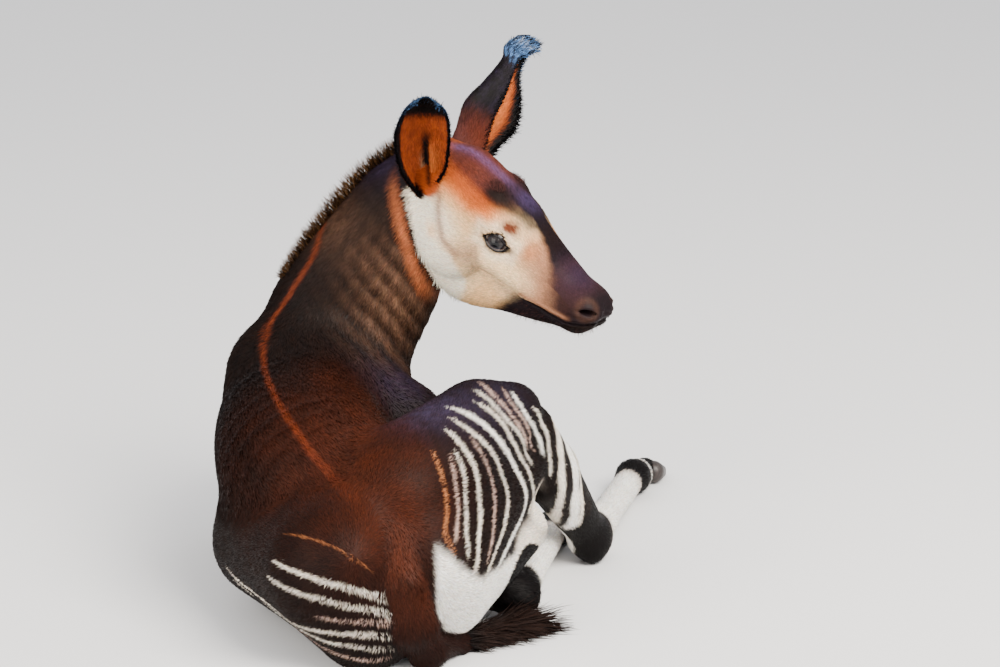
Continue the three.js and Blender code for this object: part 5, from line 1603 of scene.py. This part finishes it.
def mane():
    """Erect hair along the top of the neck, with golden tips."""
    tops = [np.array(at, float) + unit(np.array(up, float)) * top for at, up, _, top, _ in NECK]
    crest = over_skin(tops, CREST_STEPS)
    on_neck = every[of_groups("neck", "head", "trunk")]
    near, share = near_line(hide.middle[on_neck], crest, 16)
    roots = hide.roots(on_neck[(near < 9) & (share > CREST_FROM) & (share < CREST_TO)], 0.55)
    m = len(roots)
    near, share = near_line(roots.at, crest, 30)
    step = (share * CREST_STEPS).astype(int)
    along = unit(crest[np.clip(step + 1, 0, CREST_STEPS)] - crest[np.clip(step, 0, CREST_STEPS - 1)])
    way = unit(roots.n + along * rng.uniform(-0.15, 0.4, (m, 1)) + 0.22 * jitter(m))
    tall = 20 * np.interp(share, [CREST_FROM, 0.4, 0.6, CREST_TO], [0.5, 0.75, 1.0, 0.9])
    tall = tall * rng.uniform(0.65, 1.2, m)
    gold = rng.random((m, 1)) ** 0.7 * np.interp(share, [0.3, 0.7], [0.5, 1.2])[:, None].clip(0, 1)
    strands("mane", "coat_dark", roots, way, along * rng.uniform(0, 0.3, (m, 1)), tall * ramp(near, 14, 5),
            rng.uniform(0.8, 1.4, m), BLACK_BROWN, mix(BLACK_BROWN, GOLD, gold), 3)


def tail_tuft():
    """Long hair at the end of the tail, swept along the floor."""
    on_tail = every[of_groups("tail")]
    middle = hide.middle[on_tail]
    roots = hide.roots(on_tail[(dot(middle - TUFT_ROOT, TUFT_WAY) > 8) & (middle[:, 2] < 40)], 0.62)
    m = len(roots)
    along = ramp(dot(roots.at - TUFT_ROOT, TUFT_WAY), 5, 45)
    way = unit(TUFT_WAY + 0.2 * roots.n + 0.12 * jitter(m))
    curl = 0.14 * jitter(m) - V(0, 0, 0.1)
    strands("tail_tuft", "coat_dark", roots, way, curl, mix(24.0, 50.0, along) * rng.uniform(0.6, 1.15, m),
            rng.uniform(1.6, 2.8, m), SOOT, BLACK_BROWN * 1.6, 5)


def cheek_hair():
    """Shaggy white hair along the back edge of the cheek."""
    a, u, _ = head_coords(hide.middle)
    edge = cheek_edge(a, u)
    roots = hide.roots(every[of_groups("head") & (edge > -24) & (edge < 1) & (a > 28) & (a < 140)], 0.24)
    m = len(roots)
    a, u, _ = head_coords(roots.at)
    long = 7 + 6 * ramp(cheek_edge(a, u), -18, -2) * ramp(a, 50, 80)
    way = unit(-V(0, 0, 1.0) - 0.25 * HEAD_U - 0.12 * HEAD_A + 0.14 * jitter(m))
    way = unit(way + (0.22 - dot(way, roots.n))[:, None] * roots.n)
    base = roots.colour()
    strands("cheek_hair", "coat_white", roots, way, -0.1 * roots.n + 0.08 * jitter(m),
            long * rng.uniform(0.7, 1.2, m), rng.uniform(0.8, 1.3, m), base * 0.92,
            np.clip(base * 1.12, 0, 1), 3)


def fuzz(name, faces, per_mm2, lean, spread, shortest, longest, width, low_tone, tip_tone):
    """Short hair on the head that stands up and leans with the coat."""
    roots = hide.roots(every[faces], per_mm2)
    m = len(roots)
    strands(name, "coat_face", roots, unit(roots.n + lean * roots.f + spread * jitter(m)), 0.2 * jitter(m),
            rng.uniform(shortest, longest, m), np.full(m, width), low_tone, tip_tone, 3)


mane()
tail_tuft()
cheek_hair()
a, u, _ = head_coords(hide.middle)
chin = of_groups("head") & (a > 196) & (u < mouth_height(a) - 5)
chin &= hide.normals[skin_tris].mean(1) @ HEAD_U < -0.2
fuzz("chin_hair", chin, 0.12, 0.5, 0.3, 3, 6.5, 0.4, MUZZLE_DARK, MUZZLE_DARK * 2)
bumps = away_from_nearest(hide.middle, [on_side(BUMP, s) for s in SIDES]) < 9
fuzz("forehead_hair", bumps, 0.9, 0.9, 0.25, 3.5, 6.5, 0.8, SOOT, CROWN)


# Ears: rims and back of each cup, station by station from the root to the tip, and half its turn
EARS = {
    "right": [
        ((-84, 150, 404), (-70, 150, 412), (-78, 170, 412), 2.2),
        ((-90, 146, 411), (-69, 142, 421), (-79, 165, 420), 2.1),
        ((-106, 124, 440), (-57, 119, 445), (-82, 156, 443), 1.75),
        ((-112, 114, 470), (-53, 109, 469), (-82, 143, 471), 1.5),
        ((-111, 106, 491), (-52, 102, 489), (-82, 130, 493), 1.4),
        ((-104, 97, 510), (-54, 94, 508), (-80, 112, 515), 1.3),
        ((-97, 86, 521), (-58, 85, 519), (-79, 92, 527), 1.2),
        ((-88, 78, 528), (-66, 77, 526), (-77, 81, 532), 1.1),
    ],
    "left": [
        ((-26, 205, 432), (-16, 228, 427), (-56, 212, 453), 2.2),
        ((-17, 210, 448), (-7, 236, 443), (-49, 215, 469), 2.1),
        ((-9, 212, 478), (13, 248, 464), (-37, 219, 500), 1.8),
        ((5, 222, 506), (19, 256, 494), (-16, 233, 522), 1.6),
        ((15, 236, 530), (19, 262, 523), (1, 247, 542), 1.5),
        ((22, 246, 543), (28, 266, 541), (5, 256, 555), 1.3),
        ((40, 256, 550), (41, 270, 553), (18, 264, 565), 1.2),
    ],
}
EAR_ROWS, EAR_COLS = ((52, 40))
EAR_SUNK, EAR_THICK = 1.2, 0.3
# Hair on the back and in the cup: how many to the square millimetre, length, width; and its depth
EAR_HAIR, CUP_HAIR = (0.75, 6.5, 1.1), (0.55, 8.0, 1.0)
EAR_DEPTH = (1.1, 1.8)
BRUSH = {"right": 5.0, "left": 8.0}


def ear_sheet(stations):
    """The back of the ear as a grid, and the way into the cup at each place."""
    n = len(stations)
    lines = [np.array([s[k] for s in stations], float) for k in range(3)]
    near, far, back = (centripetal(line, EAR_ROWS)[:, None] for line in lines)
    half = np.interp(np.linspace(0, n - 1, EAR_ROWS + 1), np.arange(n), [s[3] for s in stations])
    half = half[:, None, None]
    s = np.linspace(-1, 1, EAR_COLS + 1)[None, :, None]
    middle = (near + far) / 2
    deep = (np.cos(s * half) - np.cos(half)) / (1 - np.cos(half))
    grid = middle + (far - near) / 2 * np.sin(s * half) / np.sin(half) + (back - middle) * deep
    inward = unit(np.cross(np.gradient(grid, axis=0), np.gradient(grid, axis=1)))
    open_way = (middle - back)[EAR_ROWS // 2, 0]
    return grid, inward * np.sign(inward[EAR_ROWS // 2, EAR_COLS // 2] @ open_way)


def ear_relief(t, s):
    """Fold and lip of the slit inside the cup, where the slit runs, and where along the ear it is open."""
    slit = np.interp(t, [0.0, 0.15, 0.38, 0.52, 0.7], [0.2, 0.18, 0.07, 0.13, 0.2])
    long = ramp(t, 0.06, 0.16) * ramp(t, 0.56, 0.42)
    return (7.0 * bell(s, slit + 0.29, 0.16) + 1.8 * bell(s, slit - 0.17, 0.08)) * long, slit, long


def cup_colour(side, t, s, wave, fine):
    """The inside of the ear: rusty, with painted shade in the dark slit and a pale edge beside it, dark
    towards the rim.
    """
    _, slit, long = ear_relief(t, s)
    c = paint(EAR_RUST, CUP_BROWN, 0.5 + 0.45 * wave)
    c = paint(c, ORANGE, 0.8 * bell(s, slit + 0.3, 0.16) * ramp(t, 0.5, 0.3) * (0.8 + 0.4 * wave))
    c = paint(c, FACE_CREAM, 0.6 * bell(s, slit - 0.13, 0.05) * long * ramp(t, 0.4, 0.2))
    if side == "left":
        c = paint(c, ORANGE, 0.75 * bell(s, 0.66, 0.12))
        c = paint(c, SOOT, ramp(s + 0.03 * fine, 0.8, 0.87))
        return paint(c, SOOT, ramp(t, 0.68, 0.76))
    # Painted shade in the slit between the fold and its lip
    c = paint(c, SOOT, np.exp(-((s - slit - 0.01) / 0.16) ** 4) * long)
    c = paint(c, ORANGE, 0.7 * ramp(t, 0.2, 0.06))
    brim = np.abs(s) + 0.03 * fine + (0.16 + 0.16 * ramp(t, 0.4, 0.1)) * (s < 0)
    c = paint(c, SOOT, ramp(brim, 0.86, 0.92))
    return paint(c, SOOT, ramp(t + 0.02 * fine - 0.04 * s * s, 0.6, 0.66))


def ear_back_colour(side, t, s, wave, fine):
    """The back of the ear: black with painted bluish sheen, brown towards the root, with painted bluish sheen
    on the tips.
    """
    start, lean, white = (0.66, 0.1, 0) if side == "right" else (0.74, 0.04, 0.25)
    # Painted bluish sheen over the black back of the ear
    c = paint(SOOT, BLUE_SHEEN, 0.1 + 0.15 * wave + 0.3 * fine)
    c = paint(c, CROWN, ramp(t + 0.06 * wave, 0.36, 0.14))
    c = paint(c, RUFOUS, 0.7 * ramp(t, 0.4, 0.2) * ramp(s, -0.3, -0.9) * ramp(t, 0.05, 0.18))
    # Painted bluish sheen on the tips
    tips = ramp(t + 0.1 * fine + lean * np.abs(s), start, 0.9)
    c = paint(c, TIP_SHEEN_BLUE, tips * (0.25 + 0.8 * fine))
    return paint(c, WHITE, white * ramp(t + 0.08 * fine, 0.92, 1.0))


def flat_twice(grid):
    """The grid's values as rows, for the back of the ear and again for the cup."""
    rows = grid.reshape(-1, 3) if grid.ndim > 2 else grid.ravel()
    return np.concatenate([rows, rows])


def ear_map(t, s):
    """Places in the map: the back in the left half, the cup in the right."""
    halves = [np.stack([0.02 + 0.46 * (s + 1) / 2 + 0.5 * i, 0.04 + 0.92 * t], -1) for i in (0, 1)]
    return np.concatenate([half.reshape(-1, 2) for half in halves])


def build_ear(side):
    """The ear's flesh between its back and its cup, then its coat, its fringe and its brush."""
    grid, inward = ear_sheet(EARS[side])
    t, s = np.meshgrid(np.linspace(0, 1, EAR_ROWS + 1), np.linspace(-1, 1, EAR_COLS + 1), indexing="ij")
    rim = np.minimum(1, 1.04 - np.abs(s) ** 6) * ramp(t, 1.04, 0.94)
    relief, _, _ = ear_relief(t, s)
    depths = (np.full(t.shape, EAR_SUNK), EAR_SUNK + EAR_THICK + 1.7 * rim + relief)
    layers = [(grid + inward * depth[..., None]).reshape(-1, 3) for depth in depths]
    points = np.concatenate(layers)
    index = np.arange(len(points)).reshape(2, EAR_ROWS + 1, EAR_COLS + 1)
    # Walls: the back, the cup, the two rims, the root and the tip
    walls = [
        grid_quads(index[0], False), grid_quads(index[1], True), grid_quads(index[:, :, 0], False),
        grid_quads(index[:, :, -1], True), grid_quads(index[:, 0], True), grid_quads(index[:, -1], False),
    ]
    tris = quads_to_tris(outward(points, np.concatenate(walls)))
    wall_of = np.tile(np.repeat(np.arange(len(walls)), [len(wall) for wall in walls]), 2)
    colour = np.concatenate([
        paint_ear(side, t.ravel(), s.ravel(), lumps(layer, 15, 3), lumps(layer, 5, 1))
        for paint_ear, layer in zip((ear_back_colour, cup_colour), layers)
    ])
    uv = ear_map(t, s)
    flesh = mesh_object(f"ear_{side}_flesh", points, tris, "coat_ear", colour * SKIN_SHADE, uv[tris.ravel()])
    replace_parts(flesh, f"ear_{side}")
    normals = np.concatenate([-inward.reshape(-1, 3), inward.reshape(-1, 3)])
    along, across = unit(np.gradient(grid, axis=0)), unit(np.gradient(grid, axis=1))
    bow = s[..., None] ** 3
    flow = np.concatenate([(along + turn * bow * across).reshape(-1, 3) for turn in (0.25, 0.55)])
    half = len(points) // 2
    hair = np.repeat([EAR_HAIR, CUP_HAIR], half, 0)
    depth = np.repeat(EAR_DEPTH, half)
    ear = Hide(points, tris, normals, flow, hair, depth, lambda q: q.blend(colour), lambda q: q.blend(uv))
    along, across, t, s = (flat_twice(values) for values in (along, across, t, s))
    faces, mid_t, mid_s = np.arange(len(tris)), t[tris].mean(1), s[tris].mean(1)
    darts(f"coat_ear_{side}", "coat_ear", ear.coat(faces[(wall_of < 2) & (mid_t > 0.03)]), 0.22)
    on_rim = (wall_of < 4) & (np.abs(mid_s) > 0.93) & (mid_t > 0.08)
    ear_fringe(side, ear.roots(faces[on_rim], 1.0), along, across, t, s)
    ear_brush(side, ear.roots(faces[(mid_t > 0.84) & (wall_of != 4)], 0.8), along, across, s)


def ear_fringe(side, roots, along, across, t, s):
    """The rim's fringe stands out past the edge; it's longest on the lobe and at the tip."""
    m, t, s = len(roots), roots.blend(t), roots.blend(s)
    out = roots.blend(across) * np.sign(s)[:, None]
    way = unit(0.8 * out + 0.75 * roots.blend(along) + 0.2 * jitter(m))
    long = np.interp(t, [0.1, 0.3, 0.6, 1.0], [7.0, 8.5, 5.0, 5.0])
    if side == "left":
        long = np.where(s > 0, long * 1.25, long * 0.3)
    # Painted bluish sheen on the fringe's tips, towards the ear's tip
    tip_sheen = ramp(t + 0.1 * rng.normal(size=m), 0.62, 0.9)[:, None]
    strands(f"ear_fringe_{side}", "coat_ear", roots, way, 0.2 * jitter(m), long * rng.uniform(0.6, 1.1, m),
            rng.uniform(0.7, 1.2, m), SOOT, mix(SOOT * 1.6, TIP_SHEEN_BLUE, 0.9 * tip_sheen), 3)


def ear_brush(side, roots, along, across, s):
    """Brush of hair at the tip, paled with painted bluish sheen."""
    m, out = len(roots), roots.blend(across) * roots.blend(s)[:, None]
    way = unit(roots.blend(along) + 0.5 * out + 0.3 * roots.n + 0.2 * jitter(m))
    # The brush's pale tips are painted bluish sheen
    pale = TIP_SHEEN_BLUE * mix(0.9, 1.8, rng.random((m, 1)) ** 2)
    strands(f"ear_brush_{side}", "coat_ear", roots, way, 0.2 * jitter(m),
            BRUSH[side] * rng.uniform(0.6, 1.15, m), rng.uniform(0.8, 1.3, m), SOOT * 2,
            mix(SOOT * 3, pale, rng.random((m, 1)) ** 1.8), 3)


for side in EARS:
    build_ear(side)


# Eyes: a ball with a raised cornea, the rims of the lids as tubes, and lashes
def tube(line, radius, sides=8):
    """A closed ring of tube round a closed line."""
    tangent = unit(np.roll(line, -1, 0) - np.roll(line, 1, 0))
    x = unit(np.cross(tangent, unit(line - line.mean(0))))
    y = np.cross(tangent, x)
    angle = np.linspace(0, math.tau, sides, endpoint=False)[None, :, None]
    ring = line[:, None] + radius * (np.cos(angle) * x[:, None] + np.sin(angle) * y[:, None])
    points = ring.reshape(-1, 3)
    return points, quads_to_tris(outward(points, ring_quads(len(line), sides, True)))


EYE_RINGS, EYE_SEGMENTS = 60, 72
IRIS_R, CORNEA_R = 9.0, 9.6
CORNEA_HIGH, EYE_SPARE = 1.15, 0.25


def eye_points(s):
    """Rings from the middle of the cornea to the back of the ball, then both poles."""
    long, high, out = EYE_AXES[s]
    theta = math.pi * np.linspace(0, 1, EYE_RINGS + 1)[1:-1] ** 1.6
    phi = np.linspace(0, math.tau, EYE_SEGMENTS, endpoint=False)
    th, ph = np.meshgrid(theta, phi, indexing="ij")
    off = EYE_R * np.sin(th)
    raised = CORNEA_HIGH * np.clip(1 - (off / CORNEA_R) ** 2, 0, 1) ** 1.4 * (th < 1.5)
    radius = EYE_R - EYE_SPARE + raised
    way = (np.sin(th) * np.cos(ph))[..., None] * long + (np.sin(th) * np.sin(ph))[..., None] * high
    way = way + np.cos(th)[..., None] * out
    poles = [EYES[s] + (EYE_R - EYE_SPARE + CORNEA_HIGH) * out, EYES[s] - (EYE_R - EYE_SPARE) * out]
    return np.concatenate([(EYES[s] + radius[..., None] * way).reshape(-1, 3), poles])


def eye_colour(x, y, r):
    """Pupil and streaked iris with a dark ring and a painted bluish reflection on its lower half, and a
    little white in the corners.
    """
    angle = np.arctan2(y, x)
    streak = 0.5 + 0.5 * np.sin(31 * angle + 3 * np.sin(5 * angle)) * np.sin(17 * angle + 1.0)
    iris = mix(IRIS, IRIS_PALE, (0.6 * streak * ramp(r, 3, 8))[:, None])
    # Painted bluish reflection on the iris's lower half
    iris = paint(iris, IRIS_REFLECTION, 0.35 * ramp(-y, 0, 6) * ramp(r, 2, 6))
    c = paint(EYEBALL, EYE_WHITE, 0.7 * ramp(np.abs(x), 9.6, 12.5) * (r < 20))
    c = paint(c, iris, ramp(r, IRIS_R + 0.3, IRIS_R - 0.6))
    c = paint(c, IRIS_RING, ramp(np.abs(r - IRIS_R + 0.5), 0.9, 0.3))
    return paint(c, PUPIL, ramp(np.hypot(x / 5.0, y / 3.0), 1.1, 0.92))


def build_eye(s):
    """One eyeball; behind the middle of the ball no ring of the iris shows."""
    long, high, out = EYE_AXES[s]
    points = eye_points(s)
    q = points - EYES[s]
    x, y = dot(q, long), dot(q, high)
    c = eye_colour(x, y, np.where(q @ out > 0, np.hypot(x, y), FAR))
    tris = with_poles(points, EYE_RINGS - 1, EYE_SEGMENTS)
    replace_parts(mesh_object(f"eyeball_{SIDES[s]}", points, tris, "eye", c), f"eye_{SIDES[s]}")


LID_POINTS = 72
LASHES = 90


def lid_line(s, grow, lift):
    """Closed line round the opening of the lids, on a ball a little larger than the eye's."""
    x = (EYE_HALF + grow) * np.cos(np.linspace(0, math.tau, LID_POINTS, endpoint=False))
    upper, lower = lid_arches(x, grow)
    y = np.where(np.arange(LID_POINTS) < LID_POINTS // 2, upper, lower) - EYE_LEAN * x
    z = np.sqrt(np.maximum((EYE_R + lift) ** 2 - x * x - y * y, 9))
    return EYES[s] + sum(np.outer(part, axis) for part, axis in zip((x, y, z), EYE_AXES[s]))


def lashes(s):
    """Lashes along the rims, longer above."""
    long, high, _ = EYE_AXES[s]
    a = rng.uniform(0.02, 0.98, LASHES) * math.tau
    at = np.clip((a / math.tau * LID_POINTS).astype(int), 0, LID_POINTS - 1)
    at = lid_line(s, 1.0, 1.2)[at] + 0.3 * jitter(LASHES)
    q = at - EYES[s]
    above = (q @ high + EYE_LEAN * (q @ long)) > 0
    keep = above | (rng.random(LASHES) < 0.3)
    at, q, above = at[keep], q[keep], above[keep]
    m = len(at)
    roots = Spots(at, unit(q), np.stack([0.1 + 0.8 * a[keep] / math.tau, np.full(m, 0.5)], -1))
    spread = unit(np.outer(q @ long, long) * 0.5 + np.where(above, 1, -1)[:, None] * high * 4)
    way = unit(roots.n * 0.8 + spread * 0.6 - HEAD_U * 0.35)
    length = np.where(above, rng.uniform(3, 5.5, m), rng.uniform(1.5, 3, m))
    strands(f"lashes_{SIDES[s]}", "eye", roots, way, spread * 0.35, length, np.full(m, 0.34), SOOT, SOOT, 4,
            0.4, 0.9)


for s, side in SIDES.items():
    build_eye(s)
    points, tris = tube(lid_line(s, 0.5, 0.9), 1.05)
    mesh_object(f"lid_rim_{side}", points, tris, "eye", LID)
    points, tris = tube(lid_line(s, -0.75, 0.25), 0.36, 6)
    # The wet edge of the lids, with a painted highlight along the lower lid
    wet = ramp((EYES[s] - points) @ EYE_AXES[s][1], 1.0, 3.5)
    mesh_object(f"lid_edge_{side}", points, tris, "eye", paint(LID_WET, LID_WET_HIGHLIGHT, wet))
    lashes(s)


# Hooves: two claws to a foot, with rings of growth round the horn
FEET = {
    "hind_right": (CORONET_R, TOE_R, 17), "hind_left": (CORONET_L, TOE_L, 17),
    "fore_right": (FORE_CORONET_R, FORE_TOE_R, 15), "fore_left": (FORE_CORONET_L, FORE_TOE_L, 15),
}
CLAW_RINGS, CLAW_SIDES = 40, 36
# Half the gap between two claws, and shares of the foot's radius: a claw's offset at the coronet and at the
# toe, its radius there, and how far its round ends reach past both
CLEFT = 0.75
HIGH_OFF, LOW_OFF = 0.62, 0.5
HEEL_R, TOE_TIP_R = 0.82, 0.46
HEEL_END, TOE_END = 0.72, 0.38


def claw_profile(length, r, s):
    """Places of the rings along a claw and their radii, round at both ends, with rings of growth."""
    share = np.linspace(0, 1, CLAW_RINGS + 1)[1:-1, None]
    x = -HEEL_END * r + (length + (HEEL_END + TOE_END) * r) * (1 - np.cos(share * math.pi)) / 2
    wide = mix(HEEL_R * r, TOE_TIP_R * r, np.clip(x / length, 0, 1)) - 0.2
    cap_low = np.sqrt(np.clip(1 - (np.minimum(x, 0) / ((HEEL_END + 0.02) * r)) ** 2, 0, 1))
    cap_high = np.sqrt(np.clip(1 - (np.maximum(x - length, 0) / ((TOE_END + 0.01) * r)) ** 2, 0, 1))
    growth = 1 + 0.012 * np.sin(x * 2.4) + 0.012 * np.sin(x * 1.1 + s)
    return x, wide * cap_low * cap_high * growth


def build_claw(name, coronet, toe, r, s):
    """One claw: rings from its round heel to its round toe, flat towards the other claw."""
    way = unit(toe - coronet)
    side = unit(np.cross(way, V(0, 0, 1)))
    start = coronet + side * HIGH_OFF * r * s + way * 0.25 * r
    end = coronet + side * LOW_OFF * r * s + way * np.linalg.norm(toe - coronet)
    end[2] = toe[2]
    axis = unit(end - start)
    across = unit(side - dot(side, axis) * axis)
    up = np.cross(across, axis)
    up = up if up[2] > 0 else -up
    length = np.linalg.norm(end - start)
    x, radius = claw_profile(length, r, s)
    phi = np.linspace(0, math.tau, CLAW_SIDES, endpoint=False)[None]
    points = (start + x[..., None] * axis + (radius * np.cos(phi) * 0.94)[..., None] * across
              + (radius * np.sin(phi) * np.where(np.sin(phi) < 0, 1.0, 0.96))[..., None] * up)
    points = points.reshape(-1, 3)
    ends = np.array([start - HEEL_END * r * axis, end + TOE_END * r * axis])
    points = np.concatenate([points, ends])
    inner = dot(points - coronet, side) * s
    points = points + np.outer(np.maximum(CLEFT - inner, 0) * s, side)
    points = np.clip(points, HAIR_LOW, HAIR_HIGH)
    along = dot(points - start, axis)
    c = paint(HORN, HORN_RING, 0.5 + 0.5 * np.sin(along * 1.7 + 2 * lumps(points, 12, s)))
    c = paint(c, HORN_PALE, 0.6 * ramp(along, 0.7 * length, 1.2 * length))
    claw = mesh_object(name + "_horn", points, with_poles(points, CLAW_RINGS - 1, CLAW_SIDES), "hoof_horn", c)
    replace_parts(claw, name)


for foot, (coronet, toe, r) in FEET.items():
    for s, which in ((-1, "inner"), (1, "outer")):
        build_claw(f"{foot}_claw_{which}", coronet, toe, r, s)


def lamp(name, power, colour, size, place, turn):
    """A square lamp: watts, colour, side, and place in metres."""
    light = bpy.data.lights.new(name, "AREA")
    light.energy, light.color, light.size = power, colour, size
    placed(name, light, place, turn)


# Camera at the photograph's height and tilt
CAMERA_BACK, CAMERA_HEIGHT, CAMERA_TILT = 3000, 1.130, 15.5
camera = placed("camera", bpy.data.cameras.new("camera"),
                (SHIFT[0] * METRE, (SHIFT[1] - CAMERA_BACK) * METRE, CAMERA_HEIGHT), (90 - CAMERA_TILT, 0, 0))
camera.data.sensor_width = 36
camera.data.lens = 108
bpy.context.scene.camera = camera

FLOOR_HALF = 30
corners = [(x * FLOOR_HALF, y * FLOOR_HALF, 0) for x, y in ((-1, -1), (1, -1), (1, 1), (-1, 1))]
floor_mesh = bpy.data.meshes.new("floor")
floor_mesh.from_pydata(corners, [], [(0, 1, 2, 3)])
placed("floor", floor_mesh)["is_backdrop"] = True
world = bpy.data.worlds.new("studio")
world.use_nodes = True
world.node_tree.nodes["Background"].inputs["Color"].default_value = (0.97, 0.97, 1.0, 1)
world.node_tree.nodes["Background"].inputs["Strength"].default_value = 1.25
bpy.context.scene.world = world
lamp("key", 260, (1.0, 0.94, 0.86), 2.0, (1.6, -1.8, 2.6), (42, 0, 40))
lamp("fill", 95, (1.0, 0.93, 0.84), 2.4, (-1.8, -2.2, 1.2), (74, 0, -39))

low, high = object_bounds()
